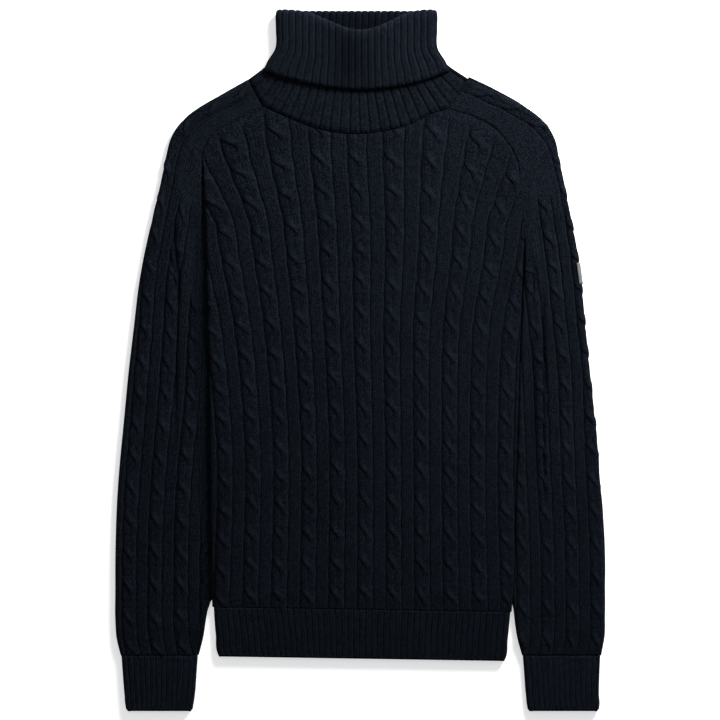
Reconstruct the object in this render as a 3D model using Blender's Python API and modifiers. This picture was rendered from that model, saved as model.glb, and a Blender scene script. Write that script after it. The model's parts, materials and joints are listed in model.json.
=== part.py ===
"""A ribbed and cabled turtleneck sweater with saddle shoulders, laid flat on its back.

Every piece is a wall of cloth. Front and back lie on each other, each sleeve is folded along its
outer edge and sewn underneath its inner one, and the collar is one knitted tube that stands up
from the neck seam, turns over at the top and hangs down outside itself.
X runs across the sweater, +Y towards the collar and +Z up from the surface it lies on.
Tables are in millimetres; the meshes are in metres. Left and right are the viewer's.
"""

import math
from collections import namedtuple

import bpy

MM = 0.001

# Thicknesses and clearances, in millimetres.
KNIT_WALL = 3.0  # one layer of the cabled body and sleeves
RIB_WALL = 2.5  # one layer of the ribbed collar, hem and cuffs
LABEL_WALL = 1.0
SEAM_GAP = 0.3  # between two pieces that are sewn together
TURN_ROOM = 0.09  # more room beside an edge that has begun to roll under, for its corners
END_GAP = 0.55  # how far a sleeve stops short of its neck and cuff seams
LABEL_GAP = 0.5  # between the label and the sleeve under it
LAYER_GAP = 1.6  # air between the front and back layers
ROLL_GAP = 0.6  # from the middle height to the end of a rolled edge, whose corners reach nearer
COLLAR_GAP = 0.4  # between the collar's layers

# Heights of the middle of each layer.
BACK_Z = KNIT_WALL / 2
FRONT_Z = BACK_Z + KNIT_WALL + LAYER_GAP
MIDDLE_Z = (FRONT_Z + BACK_Z) / 2
COLLAR_OUT_BACK_Z = RIB_WALL / 2
COLLAR_IN_BACK_Z = COLLAR_OUT_BACK_Z + RIB_WALL + COLLAR_GAP
COLLAR_IN_FRONT_Z = COLLAR_IN_BACK_Z + RIB_WALL + 2 * COLLAR_GAP
COLLAR_OUT_FRONT_Z = COLLAR_IN_FRONT_Z + RIB_WALL + COLLAR_GAP

# How finely the cloth is cut up.
EDGE_STEPS = 3  # along a quarter turn at a sewn edge
FOLD_STEPS = 4  # along a half turn at a folded edge
SLEEVE_STEPS = 8  # across one layer of a sleeve
BAND_STEPS = 8  # across one layer of the hem
CUFF_STEPS = 4  # across one layer of a cuff
STRAP_STEPS = 3  # along the collar's edge from a panel's corner to the fold

# Shoulder and armhole seams, from the neck down to the underarm. front and back are points of
# the seam on each layer, outer is the folded edge of the saddle strap and sleeve beside it,
# and turn is how far the sewn edges have rolled down into the gap under the arm.
Shoulder = namedtuple("Shoulder", "front_x front_y back_x back_y outer_x outer_y turn")
LEFT_SHOULDER = (
    Shoulder(-112, 292, -116, 312, -129, 323, 0.0),
    Shoulder(-134, 280, -138, 290, -159, 306, 0.0),
    Shoulder(-152, 271, -156, 273, -185, 290, 0.0),
    Shoulder(-171, 257, -171, 257, -203, 275, 0.0),
    Shoulder(-180, 239, -180, 239, -217, 255, 0.05),
    Shoulder(-181, 208, -181, 208, -224, 231, 0.15),
    Shoulder(-180, 177, -180, 177, -229, 203, 0.35),
    Shoulder(-179, 150, -179, 150, -236, 171, 0.7),
    Shoulder(-178, 125, -178, 125, -244, 134, 1.0),
)
RIGHT_SHOULDER = (
    Shoulder(102, 289, 105, 312, 125, 325, 0.0),
    Shoulder(131, 280, 135, 289, 158, 309, 0.0),
    Shoulder(156, 266, 158, 270, 186, 294, 0.0),
    Shoulder(174, 244, 174, 246, 209, 277, 0.0),
    Shoulder(182, 227, 182, 227, 223, 256, 0.05),
    Shoulder(183, 203, 183, 203, 229, 231, 0.15),
    Shoulder(185, 177, 185, 177, 235, 203, 0.35),
    Shoulder(188, 150, 188, 150, 241, 171, 0.7),
    Shoulder(190, 118, 190, 118, 248, 134, 1.0),
)
CORNER = 4  # the row where the shoulder seam turns into the armhole

# Each sleeve below the underarm, down to the cuff seam.
Sleeve = namedtuple("Sleeve", "y outer_x inner_x")
LEFT_SLEEVE = (
    Sleeve(90, -252, -179),
    Sleeve(36, -259, -180),
    Sleeve(-18, -266, -179),
    Sleeve(-73, -272, -178),
    Sleeve(-128, -277, -177),
    Sleeve(-183, -280, -175),
    Sleeve(-229, -281, -174),
    Sleeve(-266, -281, -174),
    Sleeve(-294, -281, -177),
    Sleeve(-321, -279, -181),
    Sleeve(-339, -275, -185),
)
RIGHT_SLEEVE = (
    Sleeve(88, 254, 191),
    Sleeve(35, 259, 189),
    Sleeve(-19, 265, 187),
    Sleeve(-73, 271, 186),
    Sleeve(-128, 275, 183),
    Sleeve(-183, 279, 181),
    Sleeve(-229, 281, 179),
    Sleeve(-266, 281, 178),
    Sleeve(-294, 281, 178),
    Sleeve(-321, 280, 182),
    Sleeve(-339, 277, 187),
)
LEFT_CUFF = (
    Sleeve(-339, -274, -186),
    Sleeve(-363, -272, -188),
    Sleeve(-384, -271, -189),
    Sleeve(-403, -269, -191),
)
RIGHT_CUFF = (
    Sleeve(-339, 276, 188),
    Sleeve(-363, 275, 190),
    Sleeve(-384, 274, 191),
    Sleeve(-403, 274, 193),
)

# The body's side seams from just under the arm down to the hem seam, then the hem band.
Body = namedtuple("Body", "y left_x right_x")
BODY = (
    Body(81, -177, 188),
    Body(35, -175, 186),
    Body(-19, -174, 184),
    Body(-86, -173, 182),
    Body(-172, -172, 179),
    Body(-229, -171, 178),
    Body(-286, -170, 175),
)
HEM = (
    Body(-286, -168, 174),
    Body(-296, -168, 174),
    Body(-318, -166, 171),
    Body(-342.5, -163, 168),
)
HEM_SLOPE = -0.016  # the hem lies slightly lower on the right

# The neck seam between the two shoulder seams, from left to right.
Neck = namedtuple("Neck", "x y")
FRONT_NECK = (
    Neck(-97, 285),
    Neck(-79, 277),
    Neck(-45, 265),
    Neck(-9, 260),
    Neck(28, 263),
    Neck(56, 270),
    Neck(83, 283),
)
BACK_NECK = (
    Neck(-97, 305),
    Neck(-79, 302),
    Neck(-45, 299),
    Neck(-9, 298),
    Neck(28, 299),
    Neck(56, 302),
    Neck(83, 306),
)

# The collar's rings above the neck seam: up inside, and then down outside. side_y is the height
# of both folded sides, which front and back dip below; power narrows the dip to the middle.
Ring = namedtuple("Ring", "half_width side_y front_dip back_dip power lean front_z back_z")
COLLAR_CENTRE = -3.5
COLLAR_TOP_Y = 403
STAND_RINGS = (
    Ring(108, 331, 45, 18, 1.0, 25, 6.2, 2.6),
    Ring(100, 342, 28, 12, 1.5, 5, 6.8, COLLAR_IN_BACK_Z),
    Ring(89, 357, 20, 4, 3.0, 0, COLLAR_IN_FRONT_Z, COLLAR_IN_BACK_Z),
    Ring(88.5, 382, 22, 1, 5.0, 0, COLLAR_IN_FRONT_Z, COLLAR_IN_BACK_Z),
)
TURNDOWN_RINGS = (
    Ring(92.5, 382, 22, 1, 5.0, 0, COLLAR_OUT_FRONT_Z, COLLAR_OUT_BACK_Z),
    Ring(93.5, 357, 20, 3, 3.0, 0, COLLAR_OUT_FRONT_Z, COLLAR_OUT_BACK_Z),
    Ring(104, 342, 19, 6, 2.0, 0, COLLAR_OUT_FRONT_Z, COLLAR_OUT_BACK_Z),
    Ring(107.5, 331, 20, 8, 1.7, 0, COLLAR_OUT_FRONT_Z, COLLAR_OUT_BACK_Z),
)
STAND_TOP_HALF_WIDTH = 88.5
TURNDOWN_TOP_HALF_WIDTH = 92.5
FOLD_FRONT_DIP = 23
FOLD_BACK_DIP = 0
FOLD_POWER = 6.0

# The largest soft folds of the sleeves' front layers, which hang from the armholes: each is a
# ridge, or a trough where rise is below zero, that fades out towards both its ends.
Fold = namedtuple("Fold", "top_x top_y foot_x foot_y half_width rise")
SLEEVE_FOLDS = (
    Fold(-199, 205, -214, 40, 10, 1.8),
    Fold(-190, 185, -193, 20, 7, -0.9),
    Fold(-226, 190, -238, 60, 9, 0.9),
    Fold(-200, -40, -206, -230, 12, 0.8),
    Fold(199, 200, 214, 60, 10, 1.6),
    Fold(205, 120, 203, -40, 8, -0.8),
    Fold(227, 200, 236, 115, 8, 0.9),
    Fold(230, -60, 226, -220, 12, 0.8),
)

# The woven label sewn over the folded edge of the right sleeve.
LABEL_TOP_Y = 112
LABEL_BOTTOM_Y = 88
LABEL_FRONT_REACH = 3.5  # from the fold's roundness in over the front
LABEL_UNDER_TURN = math.radians(40)  # how far it goes round below the fold
LABEL_STEPS = 6

NAVY_KNIT = (0.0075, 0.0100, 0.0150)
NAVY_RIB = (0.0070, 0.0092, 0.0140)
LABEL_WHITE = (0.62, 0.62, 0.60)


def mixed(a, b, share):
    """The point that lies the given share of the way from a to b."""
    return tuple(x + (y - x) * share for x, y in zip(a, b))


def direction(a, b):
    """The unit vector from a to b on the surface."""
    length = math.dist(a, b)
    return (b[0] - a[0]) / length, (b[1] - a[1]) / length


def offset_line(points, distances):
    """A line to the left of the run of points, at each point's own distance, with mitred corners."""
    moved = []
    last = len(points) - 1
    for i, (point, distance) in enumerate(zip(points, distances)):
        before = direction(points[max(i - 1, 0)], points[max(i, 1)])
        after = direction(points[min(i, last - 1)], points[min(i + 1, last)])
        normal = (-before[1] - after[1], before[0] + after[0])
        scale = 2 * distance / (normal[0] ** 2 + normal[1] ** 2)
        moved.append((point[0] + normal[0] * scale, point[1] + normal[1] * scale))
    return moved


def edge_room(turn):
    """How far the middle of a sewn edge lies inside the seam, so that its corners meet there."""
    room = SEAM_GAP / 2 + TURN_ROOM * math.sin(turn * math.pi)
    return room + KNIT_WALL / 2 * math.sin(turn * math.pi / 2)


def rolled_edge(edge, inward, turn, level):
    """Points of a sewn edge from its outermost one inwards, rolled towards the middle height.

    With no turn the edge stays flat and meets its neighbour face to face. With a full turn
    front and back meet along the side.
    """
    radius = FRONT_Z - MIDDLE_Z - ROLL_GAP
    angle = max(turn, 0.001) * math.pi / 2
    bend = radius * math.pi / 2 / angle
    down = math.copysign(1, MIDDLE_Z - level)
    points = []
    for step in range(EDGE_STEPS + 1):
        along = angle * (1 - step / EDGE_STEPS)
        run = bend * (math.sin(angle) - math.sin(along))
        drop = bend * (1 - math.cos(along))
        points.append((edge[0] + inward[0] * run, edge[1] + inward[1] * run, level + down * drop))
    return points


def fold_start(outer, inner, wall, radius):
    """Where a layer begins to turn over, for a fold whose outside reaches outer."""
    out = direction(inner, outer)
    reach = wall / 2 + radius
    return (outer[0] - out[0] * reach, outer[1] - out[1] * reach), out


def fold_points(start, out, radius, steps):
    """Points round a half turn from the front layer to the back one."""
    points = []
    for step in range(steps + 1):
        angle = math.pi * step / steps
        reach = radius * math.sin(angle)
        height = MIDDLE_Z + radius * math.cos(angle)
        points.append((start[0] + out[0] * reach, start[1] + out[1] * reach, height))
    return points


def make_material(name, colour, roughness):
    material = bpy.data.materials.new(name)
    material.use_nodes = True
    surface = material.node_tree.nodes["Principled BSDF"]
    surface.inputs["Base Color"].default_value = (*colour, 1.0)
    surface.inputs["Roughness"].default_value = roughness
    surface.inputs["Metallic"].default_value = 0.0
    return material


def make_cloth(collection, name, rows, wall, colour, roughness=0.95, closed=False):
    """A wall of cloth through rows of points, all with the same number of points."""
    width = len(rows[0])
    points = [tuple(value * MM for value in point) for row in rows for point in row]
    columns = range(width if closed else width - 1)
    faces = [
        (
            row * width + column,
            row * width + (column + 1) % width,
            (row + 1) * width + (column + 1) % width,
            (row + 1) * width + column,
        )
        for row in range(len(rows) - 1)
        for column in columns
    ]
    mesh = bpy.data.meshes.new(name)
    mesh.from_pydata(points, [], faces)
    mesh.materials.append(make_material(f"{name}_cloth", colour, roughness))
    mesh.shade_smooth()
    piece = bpy.data.objects.new(name, mesh)
    collection.objects.link(piece)
    thickness = piece.modifiers.new("Wall", "SOLIDIFY")
    thickness.thickness = wall * MM
    thickness.offset = 0.0
    thickness.use_even_offset = True
    return piece


def seam_line(shoulders, layer):
    return [(getattr(s, f"{layer}_x"), getattr(s, f"{layer}_y")) for s in shoulders]


def height_on(line, x):
    """The y at x of a line whose points run from left to right."""
    for (x0, y0), (x1, y1) in zip(line, line[1:]):
        if x <= x1:
            break
    return y0 + (y1 - y0) * (x - x0) / (x1 - x0)


def panel_rows(layer, level, neck):
    """The front or back panel, from the hem seam up to the shoulders and the neck seam."""
    foot = BODY[-1].y + SEAM_GAP / 2
    sides = {}
    for side, shoulders in (("left", LEFT_SHOULDER), ("right", RIGHT_SHOULDER)):
        body = [(getattr(row, f"{side}_x"), row.y) for row in reversed(BODY)]
        body[0] = (body[0][0], foot + HEM_SLOPE * body[0][0])
        sides[side] = body + seam_line(shoulders, layer)[::-1]
    turns = [1.0] * len(BODY) + [s.turn for s in reversed(LEFT_SHOULDER)]
    outline = sides["left"] + [tuple(point) for point in neck] + sides["right"][::-1]
    room = [-edge_room(turn) for turn in turns]
    inset = offset_line(outline, room + [-SEAM_GAP / 2] * len(neck) + room[::-1])
    corner = len(BODY) + len(LEFT_SHOULDER) - 1 - CORNER
    left, right = inset[: corner + 1], inset[::-1][: corner + 1]
    top = inset[corner : len(inset) - corner]

    columns = None
    rows = []
    for start, end, turn in reversed(list(zip(left, right, turns))):
        across = direction(start, end)
        left_edge = rolled_edge(start, across, turn, level)
        right_edge = rolled_edge(end, (-across[0], -across[1]), turn, level)
        first, last = left_edge[-1], right_edge[-1]
        if columns is None:
            span = last[0] - first[0]
            columns = [(x - first[0]) / span for x, _ in top if first[0] < x < last[0]]
        inner = [mixed(first, last, share) for share in columns]
        lift = ((start[1] - foot) / (top[0][1] - foot)) ** 4
        row = []
        for x, y, z in left_edge + inner + right_edge[::-1]:
            share = (x - start[0]) / (end[0] - start[0])
            top_x, straight_y = mixed(top[0], top[-1], share)
            row.append((x, y + lift * (height_on(top, top_x) - straight_y), z))
        rows.append(row)
    return rows[::-1]


def fold_rise(x, y):
    """How far the soft folds lift the front layer at a point."""
    total = 0.0
    for fold in SLEEVE_FOLDS:
        top, foot = (fold.top_x, fold.top_y), (fold.foot_x, fold.foot_y)
        run = direction(top, foot)
        along = ((x - top[0]) * run[0] + (y - top[1]) * run[1]) / math.dist(top, foot)
        aside = (x - top[0]) * run[1] - (y - top[1]) * run[0]
        if 0 < along < 1:
            fade = math.sin(math.pi * along)
            total += fold.rise * fade * math.exp(-((aside / fold.half_width) ** 2))
    return total


def sleeve_row(front, back, outer, turn):
    """One section of a sleeve: front sewn edge, over the folded edge, back sewn edge."""
    radius = (FRONT_Z - BACK_Z) / 2
    start, out = fold_start(outer, mixed(front, back, 0.5), KNIT_WALL, radius)
    front_edge = rolled_edge(front, direction(front, start), turn, FRONT_Z)
    back_edge = rolled_edge(back, direction(back, start), turn, BACK_Z)
    fold = fold_points(start, out, radius, FOLD_STEPS)
    shares = [step / SLEEVE_STEPS for step in range(1, SLEEVE_STEPS)]
    over = [mixed(front_edge[-1], fold[0], share) for share in shares]
    over = [(x, y, z + fold_rise(x, y)) for x, y, z in over]
    under = [mixed(fold[-1], back_edge[-1], share) for share in shares]
    return front_edge + over + fold + under + back_edge[::-1]


def sleeve_rows(shoulders, sleeve, outwards):
    """A sleeve with its saddle strap, from the neck seam down to the cuff seam.

    outwards is 1 where the sleeve lies to the right of its inner line's run, and -1 to the left.
    """
    turns = [s.turn for s in shoulders] + [1.0] * len(sleeve)
    room = [-outwards * edge_room(turn) for turn in turns]
    inner = [(row.inner_x, row.y) for row in sleeve]
    front = offset_line(seam_line(shoulders, "front") + inner, room)
    back = offset_line(seam_line(shoulders, "back") + inner, room)
    outer = seam_line(shoulders, "outer") + [(row.outer_x, row.y) for row in sleeve]
    rows = [sleeve_row(*section) for section in zip(front, back, outer, turns)]
    rows[0] = away_from(rows[0], rows[1])
    rows[-1] = away_from(rows[-1], rows[-2])
    return rows


def away_from(row, neighbour):
    """An end row moved into its piece, clear of the seam."""
    middle = len(row) // 2
    x, y = direction(row[middle], neighbour[middle])[:2]
    return [(point[0] + x * END_GAP, point[1] + y * END_GAP, point[2]) for point in row]


def band_rows(table, left, right, steps, wall, slope):
    """A ribbed tube laid flat, such as the hem or a cuff, from its seam down to its edge."""
    front_z, back_z = FRONT_Z - (KNIT_WALL - wall) / 2, wall / 2
    radius = (front_z - back_z) / 2
    rows = []
    for row in table:
        reach = wall / 2 + radius
        first, last = getattr(row, left) + reach, getattr(row, right) - reach
        xs = [first + (last - first) * step / steps for step in range(steps + 1)]
        ring = [(x, row.y, front_z) for x in xs]
        middle = (front_z + back_z) / 2
        turns = [math.pi * step / FOLD_STEPS for step in range(1, FOLD_STEPS)]
        for angle in turns:
            x = last + radius * math.sin(angle)
            ring.append((x, row.y, middle + radius * math.cos(angle)))
        ring += [(x, row.y, back_z) for x in reversed(xs)]
        for angle in turns:
            x = first - radius * math.sin(angle)
            ring.append((x, row.y, middle - radius * math.cos(angle)))
        rows.append([(x, y + slope * x, z) for x, y, z in ring])
    rows[0] = [(x, y - SEAM_GAP / 2, z) for x, y, z in rows[0]]
    return rows


def neck_plan():
    """The neck seam on the surface: the front line and the back line, fold start to fold start."""
    radius = (FRONT_Z - BACK_Z) / 2
    ends = []
    for shoulders in (LEFT_SHOULDER, RIGHT_SHOULDER):
        s = shoulders[0]
        front, back = (s.front_x, s.front_y), (s.back_x, s.back_y)
        start, out = fold_start((s.outer_x, s.outer_y), mixed(front, back, 0.5), KNIT_WALL, radius)
        ends.append((front, back, start, out))
    (left_front, left_back, left_start, left_out), right_end = ends
    right_front, right_back, right_start, right_out = right_end
    shares = [step / STRAP_STEPS for step in range(STRAP_STEPS)]
    front = [mixed(left_start, left_front, share) for share in shares] + [left_front]
    front += [tuple(point) for point in FRONT_NECK] + [right_front]
    front += [mixed(right_start, right_front, share) for share in reversed(shares)]
    back = [mixed(left_start, left_back, share) for share in shares] + [left_back]
    back += [tuple(point) for point in BACK_NECK] + [right_back]
    back += [mixed(right_start, right_back, share) for share in reversed(shares)]
    return front, back, left_out, right_out


def collar_seam_ring():
    """The collar's lowest ring, half a gap inside the neck seam."""
    front, back, left_out, right_out = neck_plan()
    front = offset_line(front, [SEAM_GAP / 2] * len(front))
    back = offset_line(back, [SEAM_GAP / 2] * len(back))
    radius = (FRONT_Z - BACK_Z) / 2
    right_fold = fold_points(front[-1], right_out, radius, FOLD_STEPS)[1:-1]
    left_fold = fold_points(front[0], left_out, radius, FOLD_STEPS)[-2:0:-1]
    ring = [(x, y, FRONT_Z) for x, y in front] + right_fold
    ring += [(x, y, BACK_Z) for x, y in reversed(back)] + left_fold
    return ring


def collar_ring(ring):
    """One ring of the collar, with its points spread as they are on the neck seam."""
    front, back, _, _ = neck_plan()
    radius = (ring.front_z - ring.back_z) / 2
    middle = (ring.front_z + ring.back_z) / 2
    lean = math.radians(ring.lean)
    reach = RIB_WALL / 2 + radius
    flat = ring.half_width - reach * math.cos(lean)
    side_y = ring.side_y - reach * math.sin(lean)

    def spread(line, dip, height):
        low, high = line[0][0], line[-1][0]
        points = []
        for x, _ in line:
            across = 2 * (x - low) / (high - low) - 1
            drop = dip * max(1 - across**2, 0) ** (ring.power / 2)
            points.append((COLLAR_CENTRE + flat * across, side_y - drop, height))
        return points

    def side(sign):
        points = []
        for step in range(1, FOLD_STEPS):
            angle = math.pi * step / FOLD_STEPS
            run = radius * math.sin(angle)
            x = COLLAR_CENTRE + sign * (flat + run * math.cos(lean))
            points.append((x, side_y + run * math.sin(lean), middle + radius * math.cos(angle)))
        return points

    front_points = spread(front, ring.front_dip, ring.front_z)
    back_points = spread(back, ring.back_dip, ring.back_z)
    return front_points + side(1) + back_points[::-1] + side(-1)[::-1]


def collar_rows():
    """The collar from the neck seam up inside, over the top fold and down to its free edge."""
    turn_radius = (COLLAR_OUT_FRONT_Z - COLLAR_IN_FRONT_Z) / 2
    centre_y = COLLAR_TOP_Y - RIB_WALL / 2 - turn_radius
    turns = []
    for step in range(FOLD_STEPS + 1):
        angle = math.pi * step / FOLD_STEPS
        share = (1 - math.cos(angle)) / 2
        rise = 2 * turn_radius * share
        half_width = STAND_TOP_HALF_WIDTH * (1 - share) + TURNDOWN_TOP_HALF_WIDTH * share
        side_y = centre_y + turn_radius * math.sin(angle)
        front_z, back_z = COLLAR_IN_FRONT_Z + rise, COLLAR_IN_BACK_Z - rise
        dips = FOLD_FRONT_DIP, FOLD_BACK_DIP
        turns.append(Ring(half_width, side_y, *dips, FOLD_POWER, 0, front_z, back_z))
    rings = [*STAND_RINGS, *turns, *TURNDOWN_RINGS]
    return [collar_seam_ring()] + [collar_ring(ring) for ring in rings]


def label_rows():
    """The label, made from the sleeve's folded edge and moved out from it."""
    radius = (FRONT_Z - BACK_Z) / 2
    moved = radius + KNIT_WALL / 2 + LABEL_GAP + LABEL_WALL / 2
    upper, lower = RIGHT_SHOULDER[-1], RIGHT_SLEEVE[0]
    rows = []
    for y in (LABEL_TOP_Y, LABEL_BOTTOM_Y):
        share = (upper.outer_y - y) / (upper.outer_y - lower.y)
        outer_x = upper.outer_x + (lower.outer_x - upper.outer_x) * share
        centre = outer_x - KNIT_WALL / 2 - radius
        row = [(centre - LABEL_FRONT_REACH, y, MIDDLE_Z + moved)]
        for step in range(LABEL_STEPS + 1):
            angle = math.pi / 2 - (math.pi / 2 + LABEL_UNDER_TURN) * step / LABEL_STEPS
            x = centre + moved * math.cos(angle)
            row.append((x, y, MIDDLE_Z + moved * math.sin(angle)))
        rows.append(row)
    return rows


def build():
    for thing in list(bpy.data.objects):
        bpy.data.objects.remove(thing)
    sweater = bpy.data.collections.new("turtleneck_sweater")
    bpy.context.scene.collection.children.link(sweater)

    front = panel_rows("front", FRONT_Z, FRONT_NECK)
    back = panel_rows("back", BACK_Z, BACK_NECK)
    make_cloth(sweater, "front_panel", front, KNIT_WALL, NAVY_KNIT)
    make_cloth(sweater, "back_panel", back, KNIT_WALL, NAVY_KNIT)
    for side, shoulders, sleeve, outwards in (
        ("left", LEFT_SHOULDER, LEFT_SLEEVE, 1),
        ("right", RIGHT_SHOULDER, RIGHT_SLEEVE, -1),
    ):
        rows = sleeve_rows(shoulders, sleeve, outwards)
        make_cloth(sweater, f"{side}_sleeve", rows, KNIT_WALL, NAVY_KNIT)

    hem = band_rows(HEM, "left_x", "right_x", BAND_STEPS, RIB_WALL, HEM_SLOPE)
    left = band_rows(LEFT_CUFF, "outer_x", "inner_x", CUFF_STEPS, RIB_WALL, 0)
    right = band_rows(RIGHT_CUFF, "inner_x", "outer_x", CUFF_STEPS, RIB_WALL, 0)
    for name, rows in (("hem_band", hem), ("left_cuff", left), ("right_cuff", right)):
        make_cloth(sweater, name, rows, RIB_WALL, NAVY_RIB, closed=True)
    make_cloth(sweater, "collar", collar_rows(), RIB_WALL, NAVY_RIB, closed=True)
    make_cloth(sweater, "sleeve_label", label_rows(), LABEL_WALL, LABEL_WHITE, roughness=0.8)


build()
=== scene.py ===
# %% [markdown]
# # A slim cable-knit turtleneck sweater, laid flat
#
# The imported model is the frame: every cloth is a solid there, at its real size. This lesson
# gives each of those cloths the surface that a knitter would know: cables, ribs and stitches.
# We load the frame first and keep its box, because the knitted cloths must stay inside it.

# %% Load the frame
import json
import math

import bpy
import numpy as np
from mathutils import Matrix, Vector

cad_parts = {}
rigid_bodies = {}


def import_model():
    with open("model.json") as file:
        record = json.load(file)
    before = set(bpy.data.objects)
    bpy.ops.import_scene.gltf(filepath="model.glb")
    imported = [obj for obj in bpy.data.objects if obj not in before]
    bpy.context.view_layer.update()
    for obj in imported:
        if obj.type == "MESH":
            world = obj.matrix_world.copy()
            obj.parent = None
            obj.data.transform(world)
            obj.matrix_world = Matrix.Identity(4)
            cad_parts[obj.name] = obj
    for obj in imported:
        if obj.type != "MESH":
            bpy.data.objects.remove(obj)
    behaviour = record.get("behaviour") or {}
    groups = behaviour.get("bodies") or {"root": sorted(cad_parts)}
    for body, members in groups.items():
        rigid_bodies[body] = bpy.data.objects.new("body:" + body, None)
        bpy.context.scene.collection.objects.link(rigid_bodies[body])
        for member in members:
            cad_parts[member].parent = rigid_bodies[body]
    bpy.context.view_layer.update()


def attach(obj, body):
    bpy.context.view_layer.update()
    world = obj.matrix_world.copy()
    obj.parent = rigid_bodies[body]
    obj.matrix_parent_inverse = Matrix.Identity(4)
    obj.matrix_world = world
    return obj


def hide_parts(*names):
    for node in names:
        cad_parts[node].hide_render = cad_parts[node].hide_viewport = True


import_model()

MM = 0.001

# %% [markdown]
# ## Camera, floor and light
#
# The sweater was photographed from straight above. A long lens from far away keeps its sides
# straight, as they are in the picture. One row of the picture is 1.15 mm of cloth, so the
# whole picture is 828 mm wide. The light is one wide, soft lamp above the collar and a
# little to the right, so the cloth is brighter there and slowly darkens towards the hem. It
# could be a sun lamp, but a sun wouldn't fall off along the cloth. The floor is a light table:
# it glows a little, so the sweater's shadow on it stays as pale as in the picture.

# %% Camera, floor and light
PICTURE_WIDTH = 828 * MM
PICTURE_CENTRE = (0.6 * MM, 0.6 * MM)
SILHOUETTE_HEIGHT = 5 * MM  # where the outline is widest, so its scale is true there
LENS = 85.0
SENSOR = 36.0
KEY_LAMP = {"place": (0.76, 1.13, 0.70), "target": (0.0, 0.36, 0.0), "size": 0.5, "power": 53}
FILL_LAMP = {"place": (-0.6, 0.4, 2.2), "target": (0.0, 0.1, 0.0), "size": 2.4, "power": 6}
STUDIO_COLOUR = (0.95, 0.97, 1.0, 1.0)
STUDIO_LIGHT = 0.30
FLOOR_TONE = 0.88
FLOOR_GLOW = 0.45
FLOOR_REACH = 4.0

scene = bpy.context.scene
scene.view_settings.view_transform = "Standard"

camera_data = bpy.data.cameras.new("camera")
camera_data.lens = LENS
camera_data.sensor_width = SENSOR
camera = bpy.data.objects.new("camera", camera_data)
camera.location = (*PICTURE_CENTRE, SILHOUETTE_HEIGHT + PICTURE_WIDTH * LENS / SENSOR)
scene.collection.objects.link(camera)
scene.camera = camera


def lamp(name, place, target, size, power):
    """A square soft lamp that looks at a point."""
    data = bpy.data.lights.new(name, "AREA")
    data.size = size
    data.energy = power
    thing = bpy.data.objects.new(name, data)
    thing.location = place
    thing.rotation_euler = (Vector(target) - Vector(place)).to_track_quat("-Z", "Y").to_euler()
    scene.collection.objects.link(thing)


def set_sockets(node, values):
    """Gives a node's sockets their plain values, by name."""
    for label, value in values.items():
        node.inputs[label].default_value = value


lamp("key_lamp", **KEY_LAMP)
lamp("fill_lamp", **FILL_LAMP)

world = bpy.data.worlds.new("studio")
world.use_nodes = True
set_sockets(world.node_tree.nodes["Background"], {"Color": STUDIO_COLOUR, "Strength": STUDIO_LIGHT})
scene.world = world

floor_material = bpy.data.materials.new("white_floor")
floor_material.use_nodes = True
set_sockets(floor_material.node_tree.nodes["Principled BSDF"], {
    "Base Color": (FLOOR_TONE, FLOOR_TONE, FLOOR_TONE, 1.0),
    "Roughness": 0.9,
    "Emission Color": (1.0, 1.0, 1.0, 1.0),
    "Emission Strength": FLOOR_GLOW,
})
floor_mesh = bpy.data.meshes.new("floor")
corners = [(x * FLOOR_REACH, y * FLOOR_REACH, 0) for x, y in ((-1, -1), (1, -1), (1, 1), (-1, 1))]
floor_mesh.from_pydata(corners, [], [(0, 1, 2, 3)])
floor_mesh.materials.append(floor_material)
floor = bpy.data.objects.new("floor", floor_mesh)
scene.collection.objects.link(floor)
print("camera at", tuple(round(v, 3) for v in camera.location))

# %% [markdown]
# ## Sums written as nodes
#
# A knitted surface follows a rule, so node trees make it. A tree with a hundred Math nodes is
# hard to read as a list of links. This small class lets us write the sums as sums: each +, *
# or ** below adds one Math node. The same class serves geometry trees and shader trees.

# %% Terms and trees
class Term:
    """A socket that can be added, multiplied and compared, each time with a Math node."""

    def __init__(self, tree, socket):
        self.tree, self.socket = tree, socket

    def math(self, operation, *others):
        node = self.tree.nodes.new("ShaderNodeMath")
        node.operation = operation
        for place, value in zip(node.inputs, (self, *others)):
            if isinstance(value, Term):
                self.tree.links.new(value.socket, place)
            else:
                place.default_value = value
        return Term(self.tree, node.outputs[0])

    def __add__(self, other):
        return self.math("ADD", other)

    def __sub__(self, other):
        return self.math("SUBTRACT", other)

    def __mul__(self, other):
        return self.math("MULTIPLY", other)

    def __truediv__(self, other):
        return self.math("DIVIDE", other)

    def __pow__(self, other):
        return self.math("POWER", other)

    def opposite(self):
        """One minus this."""
        return self * -1 + 1

    def bell(self, width):
        """1 where this is 0, fading to nothing at about twice the width on both sides."""
        return ((self / width) ** 2 * -1).math("EXPONENT")

    def ramp(self, low, high):
        """0 up to low, 1 from high on, with a soft start and end."""
        node = self.tree.nodes.new("ShaderNodeMapRange")
        node.interpolation_type = "SMOOTHSTEP"
        self.tree.links.new(self.socket, node.inputs["Value"])
        for place, limit in (("From Min", low), ("From Max", high)):
            if isinstance(limit, Term):
                self.tree.links.new(limit.socket, node.inputs[place])
            else:
                node.inputs[place].default_value = limit
        return Term(self.tree, node.outputs["Result"])

    def held(self, low, high):
        """This, but never below low or above high."""
        return self.math("MAXIMUM", low).math("MINIMUM", high)

    def where(self, test, other):
        """This where the test is 1, and the other term where it is 0."""
        return self * test + other * test.opposite()

    def dome(self, power):
        """A rounded profile: 1 in the middle, 0 where this is 1 or more."""
        return (self ** power).opposite().math("MAXIMUM", 0).math("SQRT")

    def within(self, start, full, fading, gone):
        """0 up to start, 1 from full to fading, and 0 again from gone on."""
        return self.ramp(start, full) * self.ramp(fading, gone).opposite()


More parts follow.
